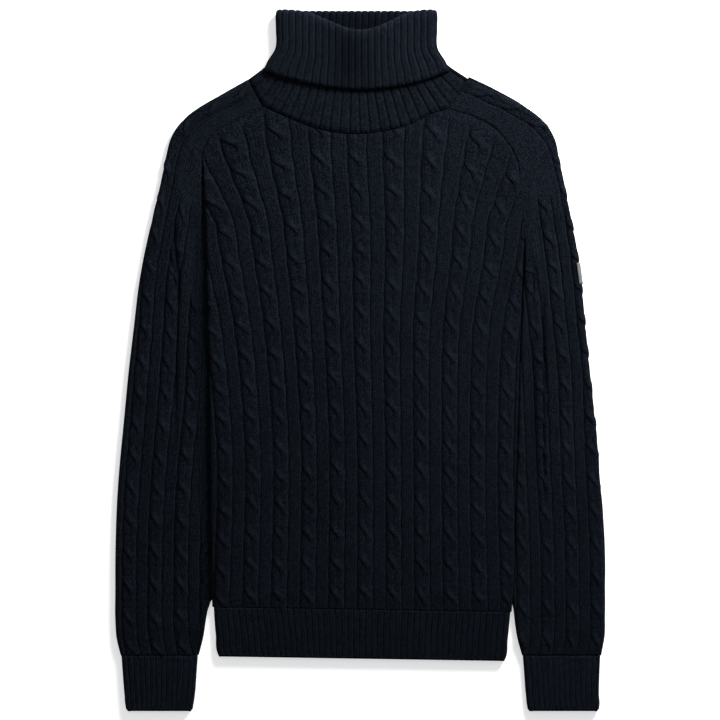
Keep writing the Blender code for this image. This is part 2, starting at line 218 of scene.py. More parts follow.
def new_tree(name, kind, inputs, outputs):
    """A node group with named sockets, and its inputs as terms."""
    tree = bpy.data.node_groups.new(name, kind)
    for label, (socket_type, default) in inputs.items():
        socket = tree.interface.new_socket(label, in_out="INPUT", socket_type=socket_type)
        if default is not None:
            socket.default_value = default
    for label, socket_type in outputs.items():
        tree.interface.new_socket(label, in_out="OUTPUT", socket_type=socket_type)
    start = tree.nodes.new("NodeGroupInput")
    end = tree.nodes.new("NodeGroupOutput")
    terms = {label: Term(tree, start.outputs[label]) for label in inputs}
    return tree, terms, end


FLOAT, VECTOR, SHAPE, CLOTH = (
    "NodeSocketFloat", "NodeSocketVector", "NodeSocketGeometry", "NodeSocketMaterial"
)


def stored(tree, name, kind="FLOAT"):
    """A value that the mesh carries at each of its points."""
    node = tree.nodes.new("GeometryNodeInputNamedAttribute")
    node.data_type = kind
    node.inputs["Name"].default_value = name
    return Term(tree, node.outputs["Attribute"])


def vector_of(tree, *parts):
    node = tree.nodes.new("ShaderNodeCombineXYZ")
    for part, place in zip(parts, node.inputs):
        tree.links.new(part.socket, place)
    return Term(tree, node.outputs["Vector"])


def finish_relief(tree, terms, end, height):
    """Moves the knitted faces out by the height and gives the cloth its material."""
    scale = tree.nodes.new("ShaderNodeVectorMath")
    scale.operation = "SCALE"
    tree.links.new(stored(tree, "outwards", "FLOAT_VECTOR").socket, scale.inputs[0])
    tree.links.new((height * stored(tree, "relief")).socket, scale.inputs["Scale"])
    move = tree.nodes.new("GeometryNodeSetPosition")
    tree.links.new(terms["Geometry"].socket, move.inputs["Geometry"])
    tree.links.new(scale.outputs["Vector"], move.inputs["Offset"])
    realise = tree.nodes.new("GeometryNodeRealizeInstances")
    tree.links.new(move.outputs["Geometry"], realise.inputs["Geometry"])
    dress = tree.nodes.new("GeometryNodeSetMaterial")
    tree.links.new(realise.outputs["Geometry"], dress.inputs["Geometry"])
    tree.links.new(terms["Cloth"].socket, dress.inputs["Material"])
    tree.links.new(dress.outputs["Geometry"], end.inputs["Geometry"])


print("helpers:", [tool.__name__ for tool in (Term, new_tree, stored, vector_of, finish_relief)])

# %% [markdown]
# ## The cable pattern
#
# A cable is two strands of stitches that swap sides every few rows. Between two cables runs a
# flat plain rib, with a narrow groove on each side. At each crossing the left strand passes
# over the right one: its lower left edge leaves a short, dark, curved crease, and the cable
# swells a little below it. The pattern could be carved by hand or simulated yarn by yarn. It
# repeats hundreds of times over a curved cloth, so one rule computes it from two numbers that
# each point carries: wale, which counts cables across, and course, which counts crossings
# down. The rule is written once and used twice. A geometry tree raises the cloth with it. The
# material uses it to draw the stitches, to paint shade along the creases and grooves, and to
# paint highlights on the rims. Sizes are millimetres.

# %% The cable rule
# Lengths are in millimetres, and shares are of the repeat from one crossing to the next.
BODY_CABLE = {
    "Repeat": 35.0, "Cable half width": 9.7, "Cable height": 3.0, "Rib height": 2.0,
    "Crossing share": 0.43, "Crease drop": 0.28, "Strand lift": 0.30, "Strand half width": 3.9,
    "Lobe bulge": 0.40, "Column width": 2.95, "Rows a crossing": 15.0,
}
SLEEVE_CABLE = dict(BODY_CABLE)
SLEEVE_CABLE.update({
    "Repeat": 28.6, "Cable half width": 8.0, "Cable height": 2.9, "Strand half width": 3.4,
    "Lobe bulge": 0.35, "Rib height": 1.9, "Column width": 2.86,
})
CROSSING_LEAD = 0.12  # how early a cable prepares to cross, before its crease starts
WIDEST_AT = 0.44  # where a cable swells most
CROSSING = (-0.12, 0.02, 0.40, 0.54)  # where the strands start to cross, have crossed, and part
CREASE_LINE = (-0.12, -0.06, 0.39, 0.47)  # where the crease's dark line starts and fades out
CREASE_START, CREASE_BEND, CREASE_PAST_MIDDLE = -0.08, 1.25, 0.5
UNDER_REACH, BANK_REACH = 2.4, 1.7  # how far from the crease the lower and upper strands rise
FAR_DIP = 0.12  # how much the lower strand dives in again beyond the upper one
MIDDLE_WIDTH, MIDDLE_DIP = 1.7, 0.07  # the dip in the middle of a cable that isn't crossing
COLUMN_DIP = 0.16  # between the fine columns of the plain knit
LIT_COLUMN, LIT_WIDTH = 1.5, 0.75  # the column beside a groove that gets a painted highlight, and its width
KNUCKLE_AT, KNUCKLE_LENGTH, KNUCKLE_LIGHT = 0.12, 0.12, 1.8
NO_GROOVE, NO_CREASE = 20, 4  # distances that keep a line from being drawn


def cable_rule(t, wale, course, cabled):
    """Height of the knit, distance to crease and groove, rims for a painted highlight, and the
    stitch's place.
    """
    across = (wale - wale.math("ROUND")) * t["Repeat"]
    down = (course + CROSSING_LEAD).math("FRACT") - CROSSING_LEAD
    swell = ((down - WIDEST_AT) * (2 * math.pi)).math("COSINE") * t["Lobe bulge"]
    half = t["Cable half width"] + swell
    aside = across.math("ABSOLUTE")

    # The crease leaves the left groove, swings to the middle and ends there, running down.
    swing = down.ramp(CREASE_START, t["Crossing share"]) ** CREASE_BEND
    past = across - (swing * (half + CREASE_PAST_MIDDLE) - half)
    over = past.math("GREATER_THAN", 0)
    crossed = down.within(*CROSSING)
    drawn = down.within(*CREASE_LINE)

    # Left of the crease the lower strand comes out from under the other and rises again.
    under_height = (past.math("MINIMUM", 0) / UNDER_REACH).math("EXPONENT") * t["Crease drop"]
    # Right of it the upper strand bulges, and the lower one dives in under its far side.
    strands = past / t["Strand half width"]
    bank = (past / BANK_REACH).held(0, 1).opposite().dome(2)
    strand = (strands - 1).math("ABSOLUTE").dome(2.4) * t["Strand lift"]
    beyond = (strands - 2).ramp(-0.12, 0.25) * FAR_DIP
    over_height = bank * (t["Crease drop"] + strand - beyond) - t["Crease drop"]
    crossing_height = over_height.where(over, under_height * -1)
    middle_dip = across.bell(MIDDLE_WIDTH) * MIDDLE_DIP * crossed.opposite()
    top = crossed * crossing_height - middle_dip + 1
    cable = (aside / half).dome(3.0) * top * t["Cable height"]

    # Between the cables runs a flat rib, or plain knit with fine upright columns of stitches.
    rib_half = half * -1 + t["Repeat"] / 2
    rib = ((aside * -1 + t["Repeat"] / 2) / rib_half).math("ABSOLUTE").dome(7) * t["Rib height"]
    column = ((across / t["Column width"]).math("FRACT") * 2 - 1).math("ABSOLUTE").dome(2)
    plain = (column * COLUMN_DIP + (1 - COLUMN_DIP)) * t["Rib height"]
    height = cable.math("MAXIMUM", rib).where(cabled, plain)

    inside = (aside - half).math("LESS_THAN", 0)
    groove = aside - half + cabled.opposite() * NO_GROOVE
    creased = drawn * inside * cabled.ramp(0.3, 0.6)
    crease = past.math("ABSOLUTE") + creased.opposite() * NO_CREASE
    # The last column before each groove on its left side turns up to the lamp and gets a painted
    # highlight.
    rim = ((half - aside) * across.math("SIGN") - LIT_COLUMN).bell(LIT_WIDTH) * cabled
    # So does the knuckle of the upper strand, just where it starts to cross.
    knuckle = (strands - 1.2).bell(0.8) * (down - KNUCKLE_AT).bell(KNUCKLE_LENGTH)
    rim = rim + knuckle * inside * cabled * KNUCKLE_LIGHT

    # Stitch columns follow the upper strand down and across, and stand upright elsewhere.
    late = strands.math("LESS_THAN", 2)
    run = past.where(late, across - 1.3).where(over, across + half)
    run = run.where(inside * cabled, (across - half).where(cabled, across))
    row = course * t["Rows a crossing"]
    stitch = vector_of(wale.tree, run / t["Column width"], row, wale.math("ROUND"))
    return height, crease, groove, rim, stitch


PIECE_INPUTS = {"Geometry": (SHAPE, None), "Cloth": (CLOTH, None)}


def with_sizes(inputs, sizes):
    """A tree's inputs, with one more for each size of the pattern."""
    return {**inputs, **{label: (FLOAT, value) for label, value in sizes.items()}}


def knit_tree(name, rule, sizes, labels):
    """A geometry tree that raises a cloth by a rule, from the named values of its points."""
    inputs = with_sizes(PIECE_INPUTS, sizes)
    tree, t, end = new_tree(name, "GeometryNodeTree", inputs, {"Geometry": SHAPE})
    height = rule(t, *(stored(tree, label) for label in labels))[0]
    finish_relief(tree, t, end, height * MM)
    print(f"{name}: {len(tree.nodes)} nodes")
    return tree


CABLE_KNIT = knit_tree("cable_knit", cable_rule, BODY_CABLE, ("wale", "course", "cabled"))

# %% [markdown]
# ## The rib pattern
#
# Collar, hem and cuffs are knitted as ribs: rounded ridges with narrow grooves between them.
# Here wale counts ribs, and course counts rows of stitches.

# %% The rib rule
COLLAR_RIB = {"Rib width": 7.6, "Rib height": 1.25, "Roundness": 0.8, "Columns a rib": 2.0}
BAND_RIB = {"Rib width": 6.8, "Rib height": 1.2, "Roundness": 0.7, "Columns a rib": 2.0}


def rib_rule(t, wale, course):
    """Height of the ribs, distance to the groove, and the stitch's place."""
    across = (wale - wale.math("ROUND")).math("ABSOLUTE") * 2
    height = (across.dome(2) ** t["Roundness"]) * t["Rib height"]
    groove = (across - 1) * t["Rib width"] / 2
    stitch = vector_of(wale.tree, wale * t["Columns a rib"], course, wale.math("ROUND"))
    return height, groove, stitch


RIB_KNIT = knit_tree("rib_knit", rib_rule, BAND_RIB, ("wale", "course"))

# %% [markdown]
# ## Yarn
#
# The yarn is a very dark navy. What we see of it is its stitches: each is a small V, lighter on
# its legs and darker between them, and soft fibres catch a little light. The V could be an
# image, but shader groups draw it from the same rules that raised the cloth, so it follows
# every cable. All knits share the groups for stitches and for fibres.

# %% Shader groups
def rule_group(name, rule, sizes, facts, results):
    """A knit's rule for materials, which puts out all that the rule tells."""
    inputs = with_sizes({label: (FLOAT, None) for label in facts}, sizes)
    tree, t, end = new_tree(name, "ShaderNodeTree", inputs, results)
    for label, term in zip(results, rule(t, *(t[label] for label in facts))):
        tree.links.new(term.socket, end.inputs[label])
    return tree


def stitch_group():
    """A V for each stitch, a tone of its own for each leg of the V, and the rows as waves."""
    inputs = {"Stitch": (VECTOR, None), "Unevenness": (FLOAT, 0.35)}
    outputs = {"Height": FLOAT, "Leg": FLOAT, "Row": FLOAT}
    tree, t, end = new_tree("stitch_faces", "ShaderNodeTree", inputs, outputs)
    noise = tree.nodes.new("ShaderNodeTexNoise")
    noise.inputs["Scale"].default_value = 0.9
    tree.links.new(t["Stitch"].socket, noise.inputs["Vector"])
    parts = tree.nodes.new("ShaderNodeSeparateXYZ")
    tree.links.new(t["Stitch"].socket, parts.inputs["Vector"])
    wobble = (Term(tree, noise.outputs[0]) - 0.5) * t["Unevenness"]
    column = Term(tree, parts.outputs["X"]) + wobble
    side = (column.math("FRACT") - 0.5).math("ABSOLUTE")
    row = Term(tree, parts.outputs["Y"]) + wobble * 2 + side * 1.2
    leg = (row * (2 * math.pi)).math("COSINE") * 0.5 + 0.5
    column_top = (side * 2).dome(2)
    own = tree.nodes.new("ShaderNodeTexWhiteNoise")
    legs = vector_of(
        tree, (column * 2).math("FLOOR"), (row + 0.5).math("FLOOR"), Term(tree, parts.outputs["Z"])
    )
    tree.links.new(legs.socket, own.inputs["Vector"])
    tree.links.new((leg * 0.5 + column_top * 0.5).socket, end.inputs["Height"])
    tree.links.new(own.outputs["Value"], end.inputs["Leg"])
    waves = (Term(tree, parts.outputs["Y"]) * (2 * math.pi)).math("COSINE") * 0.5 + 0.5
    tree.links.new(waves.socket, end.inputs["Row"])
    return tree


def fibre_group():
    """Soft mottling of the yarn: single fibres, and patches where it is worn or brushed."""
    inputs = {"Fine scale": (FLOAT, 620.0), "Patch scale": (FLOAT, 16.0)}
    tree, t, end = new_tree("yarn_fibres", "ShaderNodeTree", inputs, {"Fine": FLOAT, "Patch": FLOAT})
    place = tree.nodes.new("ShaderNodeTexCoord")
    for label, detail in (("Fine", 2.0), ("Patch", 3.0)):
        noise = tree.nodes.new("ShaderNodeTexNoise")
        noise.inputs["Detail"].default_value = detail
        tree.links.new(place.outputs["Object"], noise.inputs["Vector"])
        tree.links.new(t[f"{label} scale"].socket, noise.inputs["Scale"])
        tree.links.new((Term(tree, noise.outputs[0]) - 0.5).socket, end.inputs[label])
    return tree


CABLE_LINES = rule_group(
    "cable_lines", cable_rule, BODY_CABLE, ("Wale", "Course", "Cabled"),
    {"Height": FLOAT, "Crease": FLOAT, "Groove": FLOAT, "Rim": FLOAT, "Stitch": VECTOR},
)
RIB_LINES = rule_group(
    "rib_lines", rib_rule, BAND_RIB, ("Wale", "Course"),
    {"Height": FLOAT, "Groove": FLOAT, "Stitch": VECTOR},
)
STITCH_FACES = stitch_group()
YARN_FIBRES = fibre_group()
print("shader groups:", [tree.name for tree in (CABLE_LINES, RIB_LINES, STITCH_FACES, YARN_FIBRES)])

# %% [markdown]
# ## One surface for all knits
#
# Every knit is a mix of a deep and a light navy. The tone of the mix comes from the stitches
# and the fibres, and from painted shade along the grooves and creases of the pattern and painted
# highlights on the rims beside them. It sinks where the mesh carries painted shade, where a
# neighbouring cloth takes the light, and rises where the mesh carries a painted highlight. The
# cloths differ only in their pattern and in how light they are: the collar's navy is painted
# lighter, a lit copy for the light near the lamp, and the cuffs' navy is a little lighter too.
# Each could be painted on its own, but one function keeps them the same yarn.

# %% Materials of the knits
NAVY_DEEP, NAVY = (0.0007, 0.0010, 0.0017), (0.0059, 0.0079, 0.0118)
BASE_TONE = 0.45
PATCH_TONE = 0.25
LEG_TONE = 0.65
# Painted shade: its width along creases and grooves, and how much the lines and the mesh's painted
# shading darken the cloth.
CREASE_WIDTH, GROOVE_WIDTH = 0.75, 0.8
PAINTED_LINE_SHADE, PAINTED_SHADING_STRENGTH = 0.55, 0.8
LINE_DEPTH = 0.35
STITCH_DEPTH = 0.60
EDGE_SHARPENING = 0.20  # how much of its relief the bump adds again, for crisp edges


def placed(tree, group, sizes=(), **values):
    """A node group placed in a material, with its own values or links."""
    node = tree.nodes.new("ShaderNodeGroup")
    node.node_tree = group
    for label, value in (*dict(sizes).items(), *values.items()):
        if isinstance(value, Term):
            tree.links.new(value.socket, node.inputs[label])
        else:
            node.inputs[label].default_value = value
    return {output.name: Term(tree, output) for output in node.outputs}


def attribute(tree, label):
    node = tree.nodes.new("ShaderNodeAttribute")
    node.attribute_name = label
    return Term(tree, node.outputs["Fac"])


def blended(tree, tone, dark, light, place):
    """A colour from dark to light by the tone, linked to a socket."""
    mix = tree.nodes.new("ShaderNodeMix")
    mix.data_type = "RGBA"
    mix.clamp_factor = False
    mix.inputs["A"].default_value = (*dark, 1.0)
    mix.inputs["B"].default_value = (*light, 1.0)
    tree.links.new(tone.math("MAXIMUM", 0).socket, mix.inputs["Factor"])
    tree.links.new(mix.outputs["Result"], place)


def bumped(tree, height, distance, surface):
    """Adds the finest relief to a surface as a bump."""
    bump = tree.nodes.new("ShaderNodeBump")
    bump.inputs["Distance"].default_value = distance
    tree.links.new(height.socket, bump.inputs["Height"])
    tree.links.new(bump.outputs["Normal"], surface.inputs["Normal"])


def knit_surface(tree, surface, facts, crease, groove, rim, plain, light, grain=1.0):
    """Colour and bump of a knit: stitches, fibres, and painted shade and highlights along its lines.
    """
    stitches = placed(tree, STITCH_FACES, Stitch=facts["Stitch"])
    fibres = placed(tree, YARN_FIBRES)
    # Painted shade along the creases and grooves, which the rows of stitches break up.
    hollow_shade = crease * (stitches["Row"] * -0.3 + 1.2)
    hollow_shade = hollow_shade.math("MAXIMUM", groove * (stitches["Row"] * -0.75 + 1.0)).held(0, 1.2)
    tone = (stitches["Height"] - 0.5) * (plain * 0.5 + 0.6) + (stitches["Leg"] - 0.5) * LEG_TONE
    # A few fibres stand up and show as pale flecks.
    tone = tone + fibres["Fine"] + (fibres["Fine"] + 0.5).math("MAXIMUM", 0) ** 6 * 4
    tone = tone * grain + fibres["Patch"] * PATCH_TONE + BASE_TONE
    # Painted highlight on the rims.
    tone = tone + rim * (stitches["Row"] * 0.3 + 0.08)
    tone = tone * (hollow_shade * -PAINTED_LINE_SHADE + 1)
    # Painted shade that the mesh carries, and painted highlight where that value is below zero.
    tone = tone * (attribute(tree, "painted_shading") * -PAINTED_SHADING_STRENGTH + 1)
    blended(tree, tone, NAVY_DEEP, light, surface.inputs["Base Color"])
    height = (stitches["Height"] + fibres["Fine"] * 0.9) * (STITCH_DEPTH * grain)
    height = height + facts["Height"] * EDGE_SHARPENING - hollow_shade * LINE_DEPTH
    bumped(tree, height, MM, surface)
    set_sockets(surface, {
        "Roughness": 0.95,
        "Specular IOR Level": 0.01,
        "Sheen Weight": 0.01,
        "Sheen Roughness": 0.4,
        "Sheen Tint": (0.75, 0.85, 1.0, 1.0),
    })


def new_material(name):
    material = bpy.data.materials.new(name)
    material.use_nodes = True
    print("material:", name)
    return material, material.node_tree, material.node_tree.nodes["Principled BSDF"]


def pattern_in(tree, lines, sizes, labels):
    """What a rule's group tells in a material, from the values that the mesh carries."""
    return placed(tree, lines, sizes, **{label: attribute(tree, label.lower()) for label in labels})


def cable_material(name, sizes, light):
    material, tree, surface = new_material(name)
    facts = pattern_in(tree, CABLE_LINES, sizes, ("Wale", "Course", "Cabled"))
    # Masks for the painted shade along the creases and the grooves.
    crease, groove = facts["Crease"].bell(CREASE_WIDTH), facts["Groove"].bell(GROOVE_WIDTH)
    plain = attribute(tree, "cabled").opposite()
    knit_surface(tree, surface, facts, crease, groove, facts["Rim"], plain, light)
    return material


def rib_material(name, sizes, depth, light, grain=1.0):
    """A rib has grooves, but no creases, lit rims or plain parts."""
    material, tree, surface = new_material(name)
    facts = pattern_in(tree, RIB_LINES, sizes, ("Wale", "Course"))
    # Painted shade in the grooves: depth sets how dark, and on the collar's stand the painted groove
    # shade adds to it.
    groove = facts["Groove"].bell(GROOVE_WIDTH) * (attribute(tree, "painted_groove_shade") + depth)
    none = groove * 0
    knit_surface(tree, surface, facts, none, groove, none, none, light, grain)
    return material


def navy(times):
    return tuple(times * part for part in NAVY)


KNIT_CLOTH = cable_material("navy_cable_knit", BODY_CABLE, NAVY)
SLEEVE_CLOTH = cable_material("navy_sleeve_knit", SLEEVE_CABLE, navy(1.03))
# The collar's navy is painted lighter, a lit copy for the light near the lamp.
COLLAR_CLOTH_PAINTED_LIGHTER = rib_material("navy_collar_rib", COLLAR_RIB, 0.35, navy(1.17), 0.7)
HEM_CLOTH = rib_material("navy_hem_rib", BAND_RIB, 0.85, NAVY)
CUFF_CLOTH = rib_material("navy_cuff_rib", BAND_RIB, 0.55, navy(1.18))

# %% [markdown]
# ## A wall of cloth from a grid
#
# Each cloth starts as a grid of points in the middle of its wall. A Solidify modifier could
# thicken it, but then the hidden side would cost as many faces as the knitted one. Instead we
# build both sides ourselves: the outer one fine, the inner one four times coarser, and a rim
# that joins them, so the wall stays one closed body.

# %% Grids and walls
EDGE_RELIEF = 0.35  # how much of its relief a knit keeps at a sewn side
END_RELIEF = 0.6  # and at an end that is linked to the next piece, which it nears gently
END_ROWS, EDGE_COLUMNS = 9, 3  # over how many rows and columns it comes back to the full
INNER_STEP = 4  # how much coarser a hidden side is


def hermite(knots, values, at):
    """A smooth curve through the values at the knots, read at other places."""
    slopes = np.gradient(values, knots, axis=0)
    i = np.clip(np.searchsorted(knots, at, side="right") - 1, 0, len(knots) - 2)
    span = (knots[i + 1] - knots[i])[:, None]
    t = (at - knots[i])[:, None] / span
    return (
        (2 * t**3 - 3 * t**2 + 1) * values[i]
        + (t**3 - 2 * t**2 + t) * span * slopes[i]
        + (3 * t**2 - 2 * t**3) * values[i + 1]
        + (t**3 - t**2) * span * slopes[i + 1]
    )


def run_along(points):
    """How far along a line each of its points lies."""
    steps = np.linalg.norm(np.diff(points, axis=0), axis=1)
    return np.concatenate([[0.0], np.cumsum(steps)])


def curve_through(points, count):
    """Evenly spaced points on a smooth curve through the given ones."""
    points = np.array(points, float)
    knots = run_along(points)
    return hermite(knots, points, np.linspace(0, knots[-1], count))


def table_at(table, at):
    """The columns of a table after its first, which must rise, read at other values of it."""
    table = np.array(table, float)
    return hermite(table[:, 0], table[:, 1:], np.atleast_1d(np.asarray(at, float))).T


def grid_normals(grid, closed):
    if closed:
        across = np.roll(grid, -1, axis=1) - np.roll(grid, 1, axis=1)
    else:
        across = np.gradient(grid, axis=1)
    normals = np.cross(across, np.gradient(grid, axis=0))
    return normals / np.maximum(np.linalg.norm(normals, axis=2, keepdims=True), 1e-9)


def picked(count, step, closed=False):
    """Every so many places along a row of points, always with its last one."""
    places = list(range(0, count, step))
    if not closed and places[-1] != count - 1:
        places.append(count - 1)
    return places


def relief_left(rows, columns, closed):
    """How much of its relief a cloth keeps: less towards its ends and its sewn sides."""
    from_end = np.minimum(np.arange(rows), np.arange(rows)[::-1])
    kept = (END_RELIEF + (1 - END_RELIEF) * np.clip(from_end / END_ROWS, 0, 1))[:, None]
    if not closed:
        from_side = np.minimum(np.arange(columns), np.arange(columns)[::-1])
        side = np.clip(from_side / EDGE_COLUMNS, 0, 1)
        kept = kept * (EDGE_RELIEF + (1 - EDGE_RELIEF) * side)[None, :]
    return kept * np.ones((rows, columns))


print("a curve through three points:", curve_through(((0, 0), (1, 1), (2, 0)), 5).round(2).tolist())

# %% [markdown]
# ## The faces of a wall
#
# The outer side is a plain grid of quads. The inner one is such a grid too, with every fourth
# row and column. Each face of the rim joins four fine edges to one coarse edge, so it has
# seven corners. The rim is shaded flat, or its turn would show as a dark line along every seam.

# %% Walls
def wall_faces(rows, columns, row_places, column_places, closed):
    """The faces of both sides of a wall, and the faces of the rim that joins them."""
    inner_rows, inner_columns = len(row_places), len(column_places)

    def out(r, c):
        return r * columns + c % columns

    def inn(r, c):
        return rows * columns + r * inner_columns + c % inner_columns

    faces, rims = [], []
    for r in range(rows - 1):
        for c in range(columns if closed else columns - 1):
            faces.append((out(r, c), out(r, c + 1), out(r + 1, c + 1), out(r + 1, c)))
    spans = inner_columns if closed else inner_columns - 1
    for r in range(inner_rows - 1):
        for c in range(spans):
            faces.append((inn(r, c), inn(r + 1, c), inn(r + 1, c + 1), inn(r, c + 1)))
    ends = column_places + ([columns] if closed else [])
    last, inner_last = rows - 1, inner_rows - 1
    for c in range(spans):
        run = range(ends[c], ends[c + 1] + 1)
        rims.append([out(0, k) for k in reversed(run)] + [inn(0, c), inn(0, c + 1)])
        rims.append([out(last, k) for k in run] + [inn(inner_last, c + 1), inn(inner_last, c)])
    last, inner_last = columns - 1, inner_columns - 1
    for r in range(0 if closed else inner_rows - 1):
        run = range(row_places[r], row_places[r + 1] + 1)
        rims.append([out(k, 0) for k in run] + [inn(r + 1, 0), inn(r, 0)])
        side = [out(k, last) for k in reversed(run)]
        rims.append(side + [inn(r, inner_last), inn(r + 1, inner_last)])
    return faces, rims


def cloth_wall(
    name, grid, wall, sunk, facts, closed=False, flip=False, relief=1.0, inner_relief=None
):
    """A closed wall round a grid in millimetres; facts are values that its points carry.

    With inner_relief the inner side is as fine as the outer one and is knitted too.
    """
    normals = grid_normals(grid, closed) * (-1 if flip else 1)
    rows, columns = grid.shape[:2]
    double = inner_relief is not None
    step = 1 if double else INNER_STEP
    row_places, column_places = picked(rows, step), picked(columns, step, closed)
    depth = np.broadcast_to(sunk, (rows, columns))[..., None]
    outer = grid + normals * (wall / 2 - depth)
    at = np.ix_(row_places, column_places)
    inner_grid = (grid - normals * (wall / 2 - (depth if double else 0)))[at]
    kept = relief_left(rows, columns, closed)
    outer_relief = kept * relief
    inner_relief = kept * inner_relief if double else np.zeros(inner_grid.shape[:2])

    faces, rims = wall_faces(rows, columns, row_places, column_places, closed)
    smooth_count = len(faces)
    faces += rims
    if flip:
        faces = [tuple(reversed(face)) for face in faces]
    points = np.concatenate([outer.reshape(-1, 3), inner_grid.reshape(-1, 3)]) * MM
    mesh = bpy.data.meshes.new(name)
    mesh.from_pydata(points.tolist(), [], faces)
    mesh.polygons.foreach_set("use_smooth", np.arange(len(faces)) < smooth_count)

    def carry(label, kind, field, outside, inside):
        layer = mesh.attributes.new(label, kind, "POINT")
        layer.data.foreach_set(field, np.concatenate([outside.ravel(), inside.ravel()]))

    inner_out = -normals if double else np.zeros_like(inner_grid)
    carry("outwards", "FLOAT_VECTOR", "vector", normals, inner_out)
    carry("relief", "FLOAT", "value", outer_relief, inner_relief)
    for label, values in facts.items():
        outside, inside = values if isinstance(values, tuple) else (values, values)
        carry(label, "FLOAT", "value", outside, inside[at])
    piece = bpy.data.objects.new(name, mesh)
    scene.collection.objects.link(piece)
    return piece


def knitted(piece, tree, cloth, sizes):
    """Runs a knit tree on the piece and keeps the plain mesh that it makes."""
    modifier = piece.modifiers.new("knit", "NODES")
    modifier.node_group = tree
    values = dict(sizes, Cloth=cloth)
    for socket in tree.interface.items_tree:
        if socket.in_out == "INPUT" and socket.name in values:
            modifier[socket.identifier] = values[socket.name]
    evaluated = piece.evaluated_get(bpy.context.evaluated_depsgraph_get())
    mesh = bpy.data.meshes.new_from_object(evaluated)
    piece.modifiers.clear()
    old, piece.data = piece.data, mesh
    bpy.data.meshes.remove(old)
    mesh.name = piece.name
    triangles = sum(len(polygon.vertices) - 2 for polygon in mesh.polygons)
    print(f"{piece.name}: {triangles} triangles")
    return piece

# %% [markdown]
# ## Front and back
#
# The front hangs from two slanting saddle straps and a scooped neck seam. Its cables fan out
# towards the shoulders, because the cloth is wider there, and each row of crossings sags to the
# sides. Rows of the grid run from side seam to side seam and are lifted at the top to follow
# the neckline. Its sewn sides roll down to meet the back.

# %% Sizes of the body
WALL = 3.0
FRONT_Z, BACK_Z, MIDDLE_Z = 6.1, 1.5, 3.8  # the middles of both walls, and between them
ROLL_RADIUS = 3.4
ROLL_ANGLE = 1.15  # of a fully rolled edge, in radians
ROLL_STEPS = 6
SEAM_ROOM = 0.1
EDGE_BULK = 0.7  # how far a rolled edge stands out from the middle of its wall

# Side seams and armholes from the hem up: height, then left and right x and y, then how far
# the edge has rolled under.
SIDES = (
    (0.00, -170, -286, 175, -286, 1.0),
    (0.11, -171, -229, 178, -229, 1.0),
    (0.22, -172, -172, 179, -172, 1.0),
    (0.38, -173, -86, 182, -86, 1.0),
    (0.51, -174, -19, 184, -19, 1.0),
    (0.61, -175, 35, 186, 35, 1.0),
    (0.70, -177, 81, 188, 81, 1.0),
    (0.78, -178, 125, 190, 118, 1.0),
    (0.83, -179, 150, 188, 150, 0.8),
    (0.88, -180, 177, 185, 177, 0.4),
    (0.94, -181, 208, 183, 203, 0.1),
    (1.00, -180, 239, 182, 227, 0.05),
)
HEM_SLOPE = -0.016
LEFT_STRAP_EDGE = ((-180, 239), (-171, 257), (-152, 271), (-134, 280), (-112, 292))
RIGHT_STRAP_EDGE = ((102, 289), (131, 280), (156, 266), (174, 244), (182, 227))
FRONT_NECK = ((-97, 285), (-79, 277), (-45, 265), (-9, 260), (28, 263), (56, 270), (83, 283))
BACK_LEFT_EDGE = (
    (-175, 238), (-168.9, 256.6), (-152.7, 269.2), (-134.5, 286.4), (-125.2, 299.2), (-116, 312)
)
BACK_RIGHT_EDGE = (
    (105, 312), (118.5, 298.6), (132, 285), (154.5, 266.5), (171.6, 245.5), (177, 226)
)
BACK_NECK = ((-97, 305), (-79, 302), (-45, 299), (-9, 298), (28, 299), (56, 302), (83, 306))

# Where the cables run on the front: height, middle cable's x, pitch, and how much the pitch
# grows for each further cable.
WALES = (
    (-290, 6.3, 33.0, 0.0),
    (-86, 6.3, 32.4, 0.0),
    (35, 2.9, 34.2, 0.0),
    (156, 1.7, 38.9, 0.0),
    (242, -2.9, 39.3, 2.4),
    (288, -2.9, 39.7, 3.4),
    (330, -2.9, 39.9, 3.6),
)
CROSSING_PITCH = 35.7
FIRST_CROSSING_Y = 168.5
CROSSING_SAG = ((-290, 0.4), (-46, 1.1), (167, 1.7), (330, 1.9))
STRAIGHT_CABLES = 3  # between these the grid's columns follow the cables
SAG_TURN, SAG_SLOPE = 3.5, 2.4  # past this cable the sag grows evenly
EARLY_CABLE, EARLY_SHIFT = -4, 0.15  # one cable near the left side crosses a little higher

print("body:", SIDES[7][3] - SIDES[7][1], "mm wide at the underarms")

# %% [markdown]
# ## Where the cables run
#
# Two small rules turn a place on the front into counts. The first counts cables from the
# middle one, by a table of their pitch at each height. The second counts crossings from the
# top, and lets their rows sag. Each crossing could be placed by hand, but there are nearly two
# hundred, and they follow the rule well. No knitting is quite even, so a slow wave moves them by
# up to 3 mm.

# %% Counting cables and crossings
def wale_at(x, y):
    """How many cables right of the middle one a point of the front lies."""
    middle, pitch, spread = table_at(WALES, y)
    away = np.abs(x - middle)
    spread = np.maximum(spread, 1e-4)
    return np.sign(x - middle) * (np.sqrt(pitch**2 + 4 * spread * away) - pitch) / (2 * spread)


def wale_x(wale, y):
    middle, pitch, spread = table_at(WALES, y)
    return middle + pitch * wale + spread * wale * abs(wale)


def crossing_at(wale, y):
    """How many crossings down a point lies. Rows of crossings sag towards the sides."""
    (sag,) = table_at(CROSSING_SAG, y)
    reach = np.abs(wale)
    sagged = np.where(reach < SAG_TURN, reach**2, SAG_TURN**2 + SAG_SLOPE * (reach - SAG_TURN))
    drift = 0.05 * np.sin(1.9 * wale + 0.021 * y) + 0.03 * np.sin(4.3 * wale - 0.05 * y)
    drift = drift + EARLY_SHIFT * np.exp(-(((wale - EARLY_CABLE) / 0.5) ** 2))
    return (FIRST_CROSSING_Y - y - sag * sagged) / CROSSING_PITCH + drift


